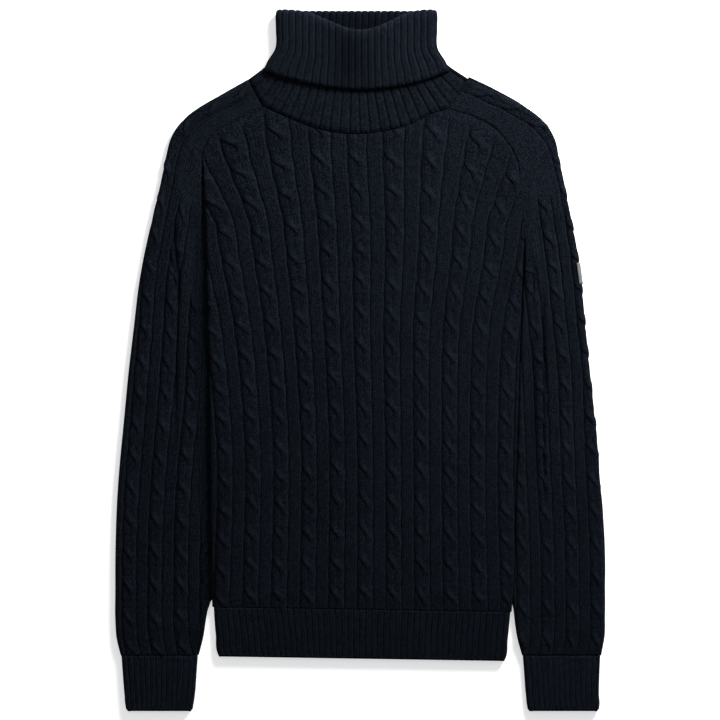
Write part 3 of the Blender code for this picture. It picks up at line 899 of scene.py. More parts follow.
print("cables at the hem:", [round(float(wale_x(w, -286)[0]), 1) for w in range(-5, 6)])

# %% [markdown]
# ## Rolled edges and panels
#
# The sewn sides of knitting roll under. Each row of a panel's grid starts with such a roll,
# runs flat across the body and ends with the other roll. The columns could be evenly spaced,
# but then the cables would cross them at a slant and their edges would look like steps, so in
# the middle the columns follow the cables.

# %% Rolled edges and panels
TOP_POINTS = 60  # on each part of a panel's upper edge
CLEAR_OF_ROLL = 12  # the least distance between a roll and the columns that follow cables
LIFT_POWER = 4  # how late the rows bend to follow the neckline


def rolled(edge, inward, turn, level):
    """Points of a sewn edge, from its outermost one inwards, rolled towards the middle."""
    angle = max(turn, 0.001) * ROLL_ANGLE
    bend = ROLL_RADIUS * ROLL_ANGLE / angle
    down = math.copysign(1, MIDDLE_Z - level)
    along = angle * (1 - np.arange(ROLL_STEPS + 1) / ROLL_STEPS)
    run = bend * (math.sin(angle) - np.sin(along))
    drop = bend * (1 - np.cos(along))
    flat = np.array(edge)[None, :] + np.array(inward)[None, :] * run[:, None]
    return np.column_stack([flat, level + down * drop])


def edge_room(turn):
    return SEAM_ROOM + EDGE_BULK * turn


def top_line(left, neck, right):
    """The panel's upper edge as one fine line, with its corners kept where seams meet."""
    parts = [left, (left[-1], *neck, right[0]), right]
    return np.concatenate([curve_through(part, TOP_POINTS) for part in parts])


def column_places(first, last, y, side_columns, cable_columns):
    """Where a row's columns lie: evenly at its sides, and along the cables in its middle."""
    reach = STRAIGHT_CABLES
    turns = [float(wale_x(wale, y)[0]) for wale in (-reach, reach)]
    turns = [max(turns[0], first + CLEAR_OF_ROLL), min(turns[1], last - CLEAR_OF_ROLL)]
    middle = np.linspace(-reach, reach, cable_columns + 1)
    return np.concatenate([
        np.linspace(first, turns[0], side_columns + 1)[1:-1],
        np.interp(wale_x(middle, y), [wale_x(-reach, y)[0], wale_x(reach, y)[0]], turns),
        np.linspace(turns[1], last, side_columns + 1)[1:-1],
    ])


def panel_grid(top, level, rows, side_columns, cable_columns, rolls, rooms, flat_sides=False):
    """Grid of a panel, with columns that follow the cables in its middle.

    rolls and rooms say how far its left and right edges are rolled and moved in at the side.
    """
    shares = np.linspace(0, 1, rows)
    grid = []
    for share, left_x, left_y, right_x, right_y, turn in zip(shares, *table_at(SIDES, shares)):
        if flat_sides:
            left_room, right_room = (SEAM_ROOM + room for room in rooms)
        else:
            left_room, right_room = (edge_room(turn) + room * turn for room in rooms)
        slope = HEM_SLOPE * (1 - share)
        start = np.array([left_x + left_room, left_y + slope * left_x])
        end = np.array([right_x - right_room, right_y + slope * right_x])
        across = (end - start) / np.linalg.norm(end - start)
        left_edge = rolled(start, across, turn * rolls[0], level)
        right_edge = rolled(end, -across, turn * rolls[1], level)
        first, last = left_edge[-1][:2], right_edge[-1][:2]
        y = (first[1] + last[1]) / 2
        xs = column_places(first[0], last[0], y, side_columns, cable_columns)
        ys = np.interp(xs, [first[0], last[0]], [first[1], last[1]])
        flat = np.column_stack([xs, ys, np.full(len(xs), level)])
        row = np.concatenate([left_edge, flat, right_edge[::-1]])
        # Near the top the straight row is lifted to follow the straps and the neckline.
        top_x = np.interp(row[:, 0], [start[0], end[0]], [top[0][0], top[-1][0]])
        straight = np.interp(row[:, 0], [start[0], end[0]], [left_y, right_y])
        rise = np.interp(top_x, top[:, 0], top[:, 1]) - SEAM_ROOM - straight
        row[:, 1] += share**LIFT_POWER * rise
        grid.append(row)
    return np.array(grid)


edge_drop = FRONT_Z - rolled((0, 0), (1, 0), 1.0, FRONT_Z)[0, 2]
print("an edge rolls down by", round(edge_drop, 2), "mm")

# %% [markdown]
# ## Knitting the front and the back
#
# The front lies on the back. Of the back hardly anything shows, so its grid is coarser and its
# relief is pressed flatter. Between the front and a sleeve runs a deep, narrow valley. Each point
# carries a value by which the material darkens: painted shade near the valleys, and in the
# front's lower left corner, which lies away from the lamp.

# %% Front and back
FRONT_SUNK, UNDER_SUNK = 1.3, 1.7  # how deep the relief starts below a wall's face
UNDER_RELIEF = 0.35  # cloth that the sweater lies on is pressed flatter
JOINT_IN = 5.0  # how far inside the body's side the back meets each sleeve, out of sight
LEFT_VALLEY, RIGHT_VALLEY = 5.2, -0.4  # how far each sleeve's upper edge keeps away from the body
VALLEY_FLOOR = 0.25  # painted shade of the inner side of the lower layer, which shows in the valleys
VALLEY_SHADE_REACH = 4.5  # how far from its edge the painted shade of the valley reaches
VALLEY_SHADE_FADE = 1.8
BODY_MIDDLE_X = -5
STRAPS_FROM, STRAPS_FADE = 98, 14  # how far from the middle the front meets the straps
PRESSED_TOP, PRESSED_FADE, PRESSED = 5, 10, 0.8  # just below them its cables are pressed flat
LEE_SHADE = 0.4  # of the front's lower left corner, which lies away from the lamp
LEE_X, LEE_FADE_X = -138, 34
LEE_Y, LEE_FADE_Y = -40, 150


def smooth(share):
    share = np.clip(share, 0, 1)
    return share * share * (3 - 2 * share)


def dressed(piece, tree, cloth, sizes, node):
    """Knits a piece and lets it stand for its solid in the frame."""
    knitted(piece, tree, cloth, sizes)
    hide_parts(node)
    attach(piece, "root")
    return piece


def everywhere(grid, value):
    return np.full(grid.shape[:2], float(value))


def body_counts(grid, side=1):
    """wale and course at each point of the front or, with side -1, of the back."""
    wale = np.array([wale_at(row[:, 0], row[:, 1]) for row in grid])
    course = np.array([crossing_at(w, row[:, 1]) for w, row in zip(wale, grid)])
    return {"wale": wale * side, "course": course}


def painted_valley_shade(grid, turns, left, right):
    """Painted shade at each point of a grid: how much light it loses to the valleys at its sides."""
    steps = np.linalg.norm(np.diff(grid, axis=1), axis=2)
    along = np.concatenate([np.zeros((len(grid), 1)), np.cumsum(steps, axis=1)], axis=1)
    from_right = along[:, -1:] - along
    near_left, near_right = (smooth((VALLEY_SHADE_REACH - d) / VALLEY_SHADE_FADE) for d in (along, from_right))
    shades = left * near_left, right * near_right
    return np.maximum(*shades) * turns[:, None]


front_top = top_line(LEFT_STRAP_EDGE, FRONT_NECK, RIGHT_STRAP_EDGE)
front_grid = panel_grid(
    front_top, FRONT_Z, rows=290, side_columns=56, cable_columns=180,
    rolls=(1.0, 0.35), rooms=(0.3, -0.4),
)
front_x, front_y = front_grid[..., 0], front_grid[..., 1]
front_turns = table_at(SIDES, np.linspace(0, 1, len(front_grid)))[4]
front_shade = painted_valley_shade(front_grid, front_turns, left=0.6, right=0.15)
beside_strap = smooth((np.abs(front_x - BODY_MIDDLE_X) - STRAPS_FROM) / STRAPS_FADE)
below_top = smooth((front_y[-1:] - front_y - PRESSED_TOP) / PRESSED_FADE)
lee = LEE_SHADE * smooth((LEE_X - front_x) / LEE_FADE_X) * smooth((LEE_Y - front_y) / LEE_FADE_Y)
front_facts = body_counts(front_grid)
front_facts["cabled"] = 1 - PRESSED * beside_strap * (1 - below_top)
# Painted shade beside the valleys and in the lower left corner.
front_facts["painted_shading"] = np.maximum(front_shade, lee)
front = cloth_wall("front_panel_knit", front_grid, WALL, FRONT_SUNK, front_facts)
dressed(front, CABLE_KNIT, KNIT_CLOTH, BODY_CABLE, "front_panel")

back_top = top_line(BACK_LEFT_EDGE, BACK_NECK, BACK_RIGHT_EDGE)
back_grid = panel_grid(
    back_top, BACK_Z, rows=150, side_columns=30, cable_columns=120,
    rolls=(0.0, 0.0), rooms=(JOINT_IN, JOINT_IN), flat_sides=True,
)
back_facts = body_counts(back_grid, side=-1)
back_facts["cabled"] = everywhere(back_grid, 1)
back_facts["painted_shading"] = everywhere(back_grid, 0), everywhere(back_grid, VALLEY_FLOOR)
back = cloth_wall(
    "back_panel_knit", back_grid, WALL, UNDER_SUNK, back_facts, flip=True, relief=UNDER_RELIEF
)
dressed(back, CABLE_KNIT, KNIT_CLOTH, BODY_CABLE, "back_panel")

# %% [markdown]
# ## Sleeves with their saddle straps
#
# Each sleeve is one piece of knitting: it starts as a narrow saddle strap at the neck, runs
# along the shoulder, widens into the sleeve and ends at the cuff. Laid flat it is a folded
# tube, open on the armhole side above the underarm. Its sections are rolled at the sewn edges
# and turn round a small half circle at the folded edge. One cable runs all the way down from
# the neck. Further cables start lower down, where the sleeve is wide enough. Between them the
# knit is plain, and its fine columns of stitches curve with the strap. A few soft folds hang
# from the armhole.

# %% Sizes of the sleeves
# Shoulder and armhole, from the neck down: the seam on the front, on the back, the outermost
# point of the section, and how far the sewn edges have rolled under.
LEFT_SHOULDER = (
    (-112, 292, -116, 312, -129, 323, 0.0),
    (-134, 280, -138, 290, -159, 306, 0.0),
    (-152, 271, -156, 273, -185, 290, 0.0),
    (-171, 257, -173, 259.5, -203, 275, 0.0),
    (-180, 239, -180, 239, -217, 255, 0.05),
    (-181, 208, -181, 208, -224, 231, 0.1),
    (-180, 177, -180, 177, -229, 203, 0.4),
    (-179, 150, -179, 150, -236, 171, 0.8),
    (-178, 125, -178, 125, -244, 134, 1.0),
)
RIGHT_SHOULDER = (
    (102, 289, 105, 312, 125, 325, 0.0),
    (131, 280, 135, 289, 158, 309, 0.0),
    (156, 266, 158, 270, 186, 294, 0.0),
    (174, 244, 176, 248, 209, 277, 0.0),
    (182, 227, 182, 227, 223, 256, 0.05),
    (183, 203, 183, 203, 229, 231, 0.1),
    (185, 177, 185, 177, 235, 203, 0.4),
    (188, 150, 188, 150, 241, 171, 0.8),
    (190, 118, 190, 118, 248, 134, 1.0),
)
# Below the underarm: height, folded edge and sewn edge.
LEFT_SLEEVE = (
    (90, -252, -180), (36, -259, -182), (-18, -266, -181), (-73, -272, -179),
    (-128, -277, -177), (-183, -280, -175), (-229, -281, -174), (-266, -281, -174),
    (-294, -281, -176), (-321, -279, -180.3), (-339, -275, -185),
)
RIGHT_SLEEVE = (
    (88, 254, 191), (35, 259, 189), (-19, 265, 187), (-73, 271, 186), (-128, 275, 183),
    (-183, 279, 181), (-229, 281, 179), (-266, 281, 178), (-294, 281, 178),
    (-321, 280, 182), (-339, 277, 187),
)
FOLD_RADIUS = (FRONT_Z - BACK_Z) / 2
FOLD_COLUMNS = 11
# Room for the relief outside each folded edge: height, then how far the fold keeps in.
LEFT_INSET = (
    (-340, 1.6), (-300, 1.9), (-160, 2.2), (-60, 2.5), (-10, 1.7), (190, 1.8), (226, 3.2),
    (244, 3.0), (263, 1.6), (281, 0.6), (300, 2.0), (316, 1.8), (325, 0.9),
)
RIGHT_INSET = (
    (-340, 0.0), (-280, 0.2), (-120, 0.6), (-60, 2.2), (20, 1.4), (250, 1.4), (300, 0.6),
    (325, -0.5),
)
SLEEVE_FOOT_Y, STRAP_TOP_Y = -340, 325  # the heights between which these tables hold
SLEEVE_ROWS = 290
SLEEVE_COLUMNS = 84  # on each layer
END_ROOM = 0.25
PARTING_Y, PARTING_BLEND = -282, 14  # where the sleeves part from the body, above the hem
JOINT_ROWS = 12  # over how many rows the joint below the body's side moves in
print("sleeves:", len(LEFT_SHOULDER) + len(LEFT_SLEEVE), "sections on each side")

# %% [markdown]
# ## The sleeves' cables and folds
#
# The first cable follows the folded edge at a distance that a table gives. The next ones lie
# beside it, and the further in they are, the later they cross and the lower they start. The
# folds could come from a cloth simulation, but it would find folds of its own. There are only a
# few, so each is a row of numbers: a soft trough or ridge along a straight line.

# %% Sizes of the sleeves' cables and folds
SLEEVE_CROSSING_PITCH = 36.9
# The first cable of each sleeve: height, its distance in from the folded edge, the distance
# between cables, and how much lower the next cables cross for each millimetre between them.
LEFT_CABLES = (
    (-340, 15.4, 29.8, 0.0), (-102, 15.8, 29.8, 0.0), (-28, 15.0, 30.0, 0.07),
    (45, 13.0, 28.4, 0.22), (82, 11.2, 28.0, 0.30), (110, 9.6, 28.0, 0.40),
    (140, 8.8, 27.4, 0.35), (160, 7.8, 27.0, 0.3), (200, 6.2, 27.0, 0.15), (233, 5.2, 27.0, 0.1),
    (260, 6.0, 27.0, 0.0), (280, 8.0, 27.0, 0.0), (300, 10.2, 27.0, 0.0), (325, 11.0, 27.0, 0.0),
)
RIGHT_CABLES = (
    (-340, 9.0, 28.2, 0.0), (-136, 7.9, 28.2, 0.0), (-98, 5.9, 28.2, 0.0), (-60, 3.2, 28.2, 0.05),
    (-25, 0.3, 28.2, 0.07), (15, -0.2, 28.2, 0.10), (51, 0.4, 28.2, 0.12), (88, 0.2, 28.2, 0.10),
    (127, -0.4, 28.2, 0.25), (171, -1.1, 28.2, 0.15), (230, 0.0, 28.2, 0.0), (255, 3.0, 28.2, 0.0),
    (285, 8.0, 28.2, 0.0), (309, 10.5, 28.2, 0.0), (325, 11.5, 28.2, 0.0),
)
LEFT_CABLE_TOPS = (999, 184, 70, 20)  # the heights where each next cable starts
RIGHT_CABLE_TOPS = (999, 189, 110, 40)

CABLE_START = 16  # over how many millimetres a cable rises out of the plain knit
STRAP_FROM_Y, STRAP_BLEND = 233, 35
SOFT_FROM_Y, SOFT_BLEND = 150, 60  # where the cables soften towards the strap

# Soft folds: from x, y down to x, y, then half width and rise, below zero for a trough.
# A trough this deep gets the full painted shade.
FULL_SHADE_DEPTH = 6.0
LEFT_FOLDS = (
    (-203, 215, -214, 40, 9, 2.2),
    (-212, 160, -207, 60, 3.0, -4.6),
    (-217, 125, -209, 60, 2.4, -3.0),
    (-209, 80, -212, -100, 2.6, -2.4),
    (-190, 185, -192, 20, 7, -1.2),
    (-226, 190, -240, 60, 8, 1.2),
    (-198, 150, -199, 90, 4, 1.2),
    (-200, -40, -206, -230, 12, 1.2),
    (-246, -20, -250, -180, 9, -0.8),
    (-226, -200, -231, -320, 11, 1.0),
)
RIGHT_FOLDS = (
    (196, 215, 203, 60, 7, 2.0),
    (199, 120, 200, 66, 3.0, -4.0),
    (211, 84, 212, -165, 3.0, -5.0),
    (200, 84, 202, -165, 8, -2.4),
    (205, 180, 208, 100, 5, -1.2),
    (227, 200, 237, 100, 9, 1.4),
    (232, -60, 228, -220, 12, 1.2),
    (214, -190, 216, -320, 10, -0.9),
)
FOLD_ENDS = 0.7  # below 1, so that a fold keeps its depth almost to its ends
print("folds:", len(LEFT_FOLDS), "on the left sleeve,", len(RIGHT_FOLDS), "on the right one")

# %% [markdown]
# ## The shape of a sleeve
#
# A sleeve's grid is a row of sections from the neck to the cuff. Each starts at the seam on the
# front, runs over the upper layer, round the folded edge and back along the lower layer. Such a
# section could be a squashed circle, but real cloth lies flat right up to its tight fold, so we
# join it from a roll, two flat runs and a half circle.

# %% Shape of a sleeve
def raised(grid, folds):
    """Lifts or sinks the grid's upper layer along each soft fold, and returns painted shade for its
    troughs.
    """
    upper = smooth((grid[..., 2] - MIDDLE_Z) / (FRONT_Z - MIDDLE_Z))
    shade = np.zeros(upper.shape)
    for top_x, top_y, foot_x, foot_y, half_width, rise in folds:
        length = math.hypot(foot_x - top_x, foot_y - top_y)
        run_x, run_y = (foot_x - top_x) / length, (foot_y - top_y) / length
        x, y = grid[..., 0] - top_x, grid[..., 1] - top_y
        along = np.clip((x * run_x + y * run_y) / length, 0, 1)
        aside = x * run_y - y * run_x
        profile = upper * np.sin(math.pi * along) ** FOLD_ENDS * np.exp(-((aside / half_width) ** 2))
        grid[..., 2] += rise * profile
        shade = np.maximum(shade, profile * min(max(-rise, 0) / FULL_SHADE_DEPTH, 1))
    return shade


def beside_body(y):
    """1 where a sleeve lies against the body's side, 0 below the point where they part."""
    return smooth((y - PARTING_Y) / PARTING_BLEND)


def under_edge(y, own, outwards):
    """The x where a sleeve's layer ends that reaches the body's side, down to the hem."""
    side = np.interp(y, [row[2] for row in SIDES], [row[2 + outwards] for row in SIDES])
    return own + (side - own) * beside_body(y)


def sleeve_section(front, back, outer, turn, inset, valley, roll, joint_in):
    """One section in millimetres, and how far each of its points is from the folded edge."""
    middle = (front + back) / 2
    out = (outer - middle) / np.linalg.norm(outer - middle)
    start = outer - out * (inset + FOLD_RADIUS)
    to_front, to_back = start - front, start - back
    front_in, back_in = (v / np.linalg.norm(v) for v in (to_front, to_back))
    room = edge_room(turn)
    front_edge = rolled(front + front_in * (room + valley * turn), front_in, turn * roll, FRONT_Z)
    back_edge = rolled(back + back_in * (SEAM_ROOM - joint_in), back_in, 0.0, BACK_Z)
    angles = np.linspace(0, math.pi, FOLD_COLUMNS)
    fold = np.column_stack([
        start[0] + out[0] * FOLD_RADIUS * np.sin(angles),
        start[1] + out[1] * FOLD_RADIUS * np.sin(angles),
        MIDDLE_Z + FOLD_RADIUS * np.cos(angles),
    ])
    shares = np.linspace(0, 1, SLEEVE_COLUMNS - ROLL_STEPS)[1:-1, None]
    over = front_edge[-1] + (fold[0] - front_edge[-1]) * shares
    under = fold[-1] + (back_edge[-1] - fold[-1]) * shares
    section = np.concatenate([front_edge, over, fold, under, back_edge[::-1]])
    edge = len(front_edge) + len(over) + FOLD_COLUMNS // 2
    along = run_along(section)
    return section, along[edge] - along


def sleeve_rows(shoulder, sleeve, outwards):
    """Both tables as one, with rows at even steps from the neck to the cuff."""
    keys = list(shoulder)
    for y, outer, inner in sleeve:
        under = under_edge(y, inner, outwards)
        keys.append((under if outwards > 0 else inner, y, under, y, outer, y, 1.0))
    keys = np.array(keys, float)
    knots = run_along(keys[:, 4:6])
    return hermite(knots, keys, np.linspace(END_ROOM, knots[-1] - END_ROOM, SLEEVE_ROWS))


def sleeve_shape(rows, inset, valley, roll):
    """The grid of a sleeve, and how far each of its points is from the folded edge."""
    sections = []
    for number, row in enumerate(rows):
        turn = np.clip(row[6], 0, 1)
        (room_outside,) = table_at(inset, np.clip(row[5], SLEEVE_FOOT_Y, STRAP_TOP_Y))[:, 0]
        joint_in = JOINT_IN * min(number / JOINT_ROWS, 1) * beside_body(row[1])
        ends = row[0:2], row[2:4], row[4:6]
        sections.append(sleeve_section(*ends, turn, room_outside, valley, roll, joint_in))
    grid, from_edge = zip(*sections)
    return np.array(grid), np.array(from_edge)


left_rows = sleeve_rows(LEFT_SHOULDER, LEFT_SLEEVE, -1)
right_rows = sleeve_rows(RIGHT_SHOULDER, RIGHT_SLEEVE, 1)
print("sleeves:", left_rows.shape, right_rows.shape, "rows and values")

# %% [markdown]
# ## Knitting the sleeves
#
# The course of a sleeve is counted along its first cable, so the crossings keep their distance
# round the shoulder. On the strap the cables are softer, and their crossings sit up to half a
# repeat nearer to the neck. Each sleeve carries painted shade beside the body and in the troughs
# of its folds. Over the left shoulder the folded edge turns up into the light, so a value below
# zero in the same painted shading makes it lighter there: a painted highlight.

# %% Sleeves
# Reach and place of the painted highlight on the left shoulder's folded edge.
FOLD_LIGHT_REACH = 9
FOLD_LIGHT_FROM, FOLD_LIGHT_BLEND = 120, 80


def sleeve_counts(grid, from_edge, heights, cables, tops, first_crossing):
    """wale, course and cabled at each point of a sleeve."""
    spots = table_at(cables, np.clip(heights, SLEEVE_FOOT_Y, STRAP_TOP_Y))
    place, pitch, slant = spots[..., None]
    wale = (from_edge - place) / pitch
    aside = np.abs(from_edge - place)
    path = grid[np.arange(len(grid)), aside.argmin(axis=1)]
    down = run_along(path)
    reference = np.interp(-first_crossing, -path[:, 1], down)
    course = (down - reference)[:, None] - slant * aside
    course = course / SLEEVE_CROSSING_PITCH + 0.04 * np.sin(2.2 * wale + 0.03 * heights[:, None])
    counted = np.clip(np.abs(np.round(wale)).astype(int), 0, len(tops) - 1)
    cabled = smooth((np.array(tops)[counted] - grid[..., 1]) / CABLE_START + 0.5)
    return wale, course, cabled


def make_sleeve(
    name, node, outwards, rows, inset, cables, folds,
    valley, roll, shade, soft_strap, strap_shift, fold_light,
):
    """A sleeve that lies to the left (outwards -1) or to the right (outwards 1) of the body."""
    grid, from_edge = sleeve_shape(rows, inset, valley, roll)
    heights = rows[:, 5]
    wale, course, cabled = sleeve_counts(grid, from_edge, heights, *cables)
    course = course + strap_shift * smooth((heights[:, None] - STRAP_FROM_Y) / STRAP_BLEND)
    cabled = cabled * (1 - soft_strap * smooth((grid[..., 1] - SOFT_FROM_Y) / SOFT_BLEND))
    over_shoulder = smooth((grid[..., 1] - FOLD_LIGHT_FROM) / FOLD_LIGHT_BLEND)
    # Painted shade beside the body and in the folds' troughs, and a painted highlight on the folded
    # edge over the shoulder.
    painted_shading = painted_valley_shade(grid, np.clip(rows[:, 6], 0, 1), left=shade, right=0.0)
    painted_shading = np.maximum(painted_shading, raised(grid, folds))
    painted_shading = painted_shading - fold_light * (smooth(1 - from_edge / FOLD_LIGHT_REACH) * over_shoulder)
    facts = {
        "wale": -outwards * wale, "course": course, "cabled": cabled,
        "painted_shading": (painted_shading, everywhere(grid, VALLEY_FLOOR)),
    }
    # The layer that faces down lies on the table, so it is pressed flatter.
    facing = grid_normals(grid, False)[..., 2] * -outwards
    upward = smooth((facing + 1) / 0.8)
    relief = UNDER_RELIEF + (1 - UNDER_RELIEF) * upward
    sunk = UNDER_SUNK + (FRONT_SUNK - UNDER_SUNK) * upward
    piece = cloth_wall(name, grid, WALL, sunk, facts, flip=outwards > 0, relief=relief)
    return dressed(piece, CABLE_KNIT, SLEEVE_CLOTH, SLEEVE_CABLE, node), grid


left_sleeve, left_grid = make_sleeve(
    "left_sleeve_knit", "left_sleeve", -1, left_rows, LEFT_INSET,
    (LEFT_CABLES, LEFT_CABLE_TOPS, 6.9), LEFT_FOLDS,
    valley=LEFT_VALLEY, roll=1.0, shade=0.75, soft_strap=0.15, strap_shift=0.50, fold_light=0.45,
)
right_sleeve, right_grid = make_sleeve(
    "right_sleeve_knit", "right_sleeve", 1, right_rows, RIGHT_INSET,
    (RIGHT_CABLES, RIGHT_CABLE_TOPS, 15.5), RIGHT_FOLDS,
    valley=RIGHT_VALLEY, roll=0.35, shade=0.15, soft_strap=0.35, strap_shift=0.37, fold_light=0.0,
)

# %% [markdown]
# ## Collar
#
# The collar is one ribbed tube. It stands up from the neck seam, turns over at the top and
# hangs down outside itself, so both of its faces show: the outer one of the stand, below the
# free edge, and the inner one, which becomes the outside of the turn-down. We make it from
# rings, from the seam up and over, and knit both faces. A rib on one face is a groove on the
# other, so the second face's ribs are shifted by half a rib.

# %% Sizes of the collar
RIB_WALL = 2.5
RIBS_ROUND_COLLAR = 49
COLUMNS_A_RIB = 10
INSIDE_ROWS, TURN_ROWS, OUTSIDE_ROWS = 18, 10, 19
TURN_REACH = 4  # how far to each side of the turned edge the rows are closer
COLLAR_ROW = 2.3  # the height of one row of stitches
ARC_COLUMNS = 18  # round each folded side
COLLAR_CENTRE = -3.5
COLLAR_NECK_FLAT = 84.0  # half the width of its flat layers where it is narrowest
STAND_WAIST = 0.05  # how much its sides are drawn in just above the neck seam
COLLAR_TOP_Y = 402.4
# Rings above the seam: half width, height of the folded sides, dip of front and back below it,
# how narrow the dip is, lean of the folded sides in degrees, and both layers' heights.
STAND = (
    (89, 357, 20, 4, 3.0, 0, 7.45, 4.15),
    (88.5, 382, 22, 1, 5.0, 0, 7.45, 4.15),
)
TURNDOWN = (
    (92.5, 382, 22, 1, 5.0, 0, 13.2, 1.65),
    (93.5, 357, 20, 3, 3.0, 0, 12.4, 1.55),
    (103, 342, 19, 6, 2.0, 0, 11.7, 1.5),
    (107.5, 331, 20, 8, 1.7, 0, 11.1, 1.5),
)
OVER_STEPS = 6
TURN_DIP, TURN_POWER, TURN_ROUNDING = 23, 6.0, 3.2
COLLAR_HOLLOW = ((-8, 300, -20, 392, 23, -1.5),)  # where the turned-down front sinks in a little
RIGHT_NECK_OUT, LEFT_NECK_OUT = (0.80, 0.60), (-0.76, 0.65)
NECK_FRONT = ((-126.8, 319.9), (-112, 292), *FRONT_NECK, (102, 289), (122.9, 321.8))
NECK_BACK = ((-126.8, 319.9), (-116, 312), *BACK_NECK, (105, 312), (122.9, 321.8))
INSIDE_SHADE, INSIDE_FADE = 0.75, 5  # of the open throat, up to the turned edge
STAND_GROOVE_SHADE, STAND_GROOVE_SHADE_FROM, STAND_GROOVE_SHADE_FADE = 0.55, 60, 20  # painted shade in the stand's grooves, fading out above the seam
OUTER_SHADE, HOLLOW_SHADE = 0.1, 2.6
EDGE_LIGHT, EDGE_REACH = 0.6, 5  # painted highlight along the turned edge, which faces up into the light
COLLAR_COLUMNS = RIBS_ROUND_COLLAR * COLUMNS_A_RIB
COLLAR_FRONT_COLUMNS = (COLLAR_COLUMNS - 2 * ARC_COLUMNS) // 2
print("collar:", COLLAR_COLUMNS, "columns round it")

# %% [markdown]
# ## Rings of the collar
#
# The first ring is the neck seam, which isn't round: it scoops down over the front and climbs
# over both straps. All others are folded ovals that dip in the middle. The stand's rings rise
# inside, a few rings turn over the top in a half circle, and the turn-down's rings come back
# down outside. A smooth curve runs through the same point of every ring.

# %% Rings of the collar
def neck_line(points, count):
    """The seam line from fold to fold, kept straight over the straps and curved between them."""
    points = np.array(points, float)
    first, last = points[:2], points[-2:]
    middle = curve_through(points[1:-1], 200)
    line = np.concatenate([first[:1], middle, last[1:]])
    along = run_along(line)
    run = (line[:, 0] - line[0, 0]) / (line[-1, 0] - line[0, 0])
    spread = 0.45 * along / along[-1] + 0.55 * run
    at = np.linspace(0, 1, count)
    return np.column_stack([np.interp(at, spread, line[:, 0]), np.interp(at, spread, line[:, 1])])


def joined_ring(front, back, front_z, back_z, right, left):
    """A closed ring: front from left to right, round the right side, back, and the left side."""
    radius, middle = (front_z - back_z) / 2, (front_z + back_z) / 2
    angles = math.pi * (np.arange(ARC_COLUMNS) + 0.5) / ARC_COLUMNS

    def side(start, out):
        flat = np.array(start)[None, :] + np.array(out)[None, :] * (radius * np.sin(angles))[:, None]
        return np.column_stack([flat, middle + radius * np.cos(angles)])

    return np.concatenate([
        np.column_stack([front, np.full(len(front), front_z)]), side(front[-1], right),
        np.column_stack([back[::-1], np.full(len(back), back_z)]), side(front[0], left)[::-1],
    ])


def collar_ring(half_width, side_y, front_dip, back_dip, power, lean, front_z, back_z):
    lean = math.radians(lean)
    reach = RIB_WALL / 2 + (front_z - back_z) / 2
    flat = half_width - reach * math.cos(lean)
    base = side_y - reach * math.sin(lean)
    across = np.linspace(-1, 1, COLLAR_FRONT_COLUMNS)
    flare = flat - COLLAR_NECK_FLAT
    x = COLLAR_CENTRE + across * (COLLAR_NECK_FLAT + flare * np.abs(across))
    narrow = np.maximum(1 - (across - 0.06 * (1 - across**2)) ** 2, 0) ** (power / 2)
    front = np.column_stack([x, base - front_dip * narrow])
    back = np.column_stack([x, base - back_dip * narrow])
    return joined_ring(
        front, back, front_z, back_z,
        (math.cos(lean), math.sin(lean)), (-math.cos(lean), math.sin(lean)),
    )


def over_the_top():
    """Rings round the collar's upper edge, from the last of the stand to the turn-down."""
    inside = np.array([STAND[-1][place] for place in (0, 6, 7)])
    outside = np.array([TURNDOWN[0][place] for place in (0, 6, 7)])
    turned = []
    for step in range(OVER_STEPS + 1):
        angle = math.pi * step / OVER_STEPS
        share = (1 - math.cos(angle)) / 2
        half_width, front_z, back_z = inside + (outside - inside) * share
        side_y = COLLAR_TOP_Y - RIB_WALL / 2 - TURN_ROUNDING * (1 - math.sin(angle))
        turned.append(collar_ring(half_width, side_y, TURN_DIP, 0, TURN_POWER, 0, front_z, back_z))
    return turned


neck_ring = joined_ring(
    neck_line(NECK_FRONT, COLLAR_FRONT_COLUMNS), neck_line(NECK_BACK, COLLAR_FRONT_COLUMNS),
    FRONT_Z, BACK_Z + 0.2, RIGHT_NECK_OUT, LEFT_NECK_OUT,
)
stand_rings = [collar_ring(*row) for row in STAND]
between = (neck_ring + stand_rings[0]) / 2
from_centre = between[:, 0] - COLLAR_CENTRE
between[:, 0] -= STAND_WAIST * from_centre * (from_centre / np.abs(from_centre).max()) ** 2
turndown_rings = [collar_ring(*row) for row in TURNDOWN]
rings = np.array([neck_ring, between, *stand_rings, *over_the_top(), *turndown_rings])
print("collar:", len(rings), "rings of", rings.shape[1], "points")

# %% [markdown]
# ## Knitting the collar
#
# Both faces of the collar show, so its inner side is as fine as the outer one and is knitted
# too. A rib on one face is a groove on the other, so the inner ribs are shifted by half a rib.

# %% Collar
steps = np.linalg.norm(np.diff(rings, axis=0), axis=2).mean(axis=1)
knots = np.concatenate([[0.0], np.cumsum(steps)])
turn_at = knots[len(STAND) + 2 + OVER_STEPS // 2]
reach = np.concatenate([
    np.linspace(0.1, turn_at - TURN_REACH, INSIDE_ROWS)[:-1],
    np.linspace(turn_at - TURN_REACH, turn_at + TURN_REACH, TURN_ROWS)[:-1],
    np.linspace(turn_at + TURN_REACH, knots[-1], OUTSIDE_ROWS),
])
collar_grid = hermite(knots, rings.reshape(len(rings), -1), reach).reshape(len(reach), -1, 3)


def on_each_row(values):
    """One value a row of the collar, for all of its points."""
    return np.broadcast_to(values[:, None], collar_grid.shape[:2])


collar_wale = np.arange(COLLAR_COLUMNS) / COLUMNS_A_RIB * everywhere(collar_grid, 1)
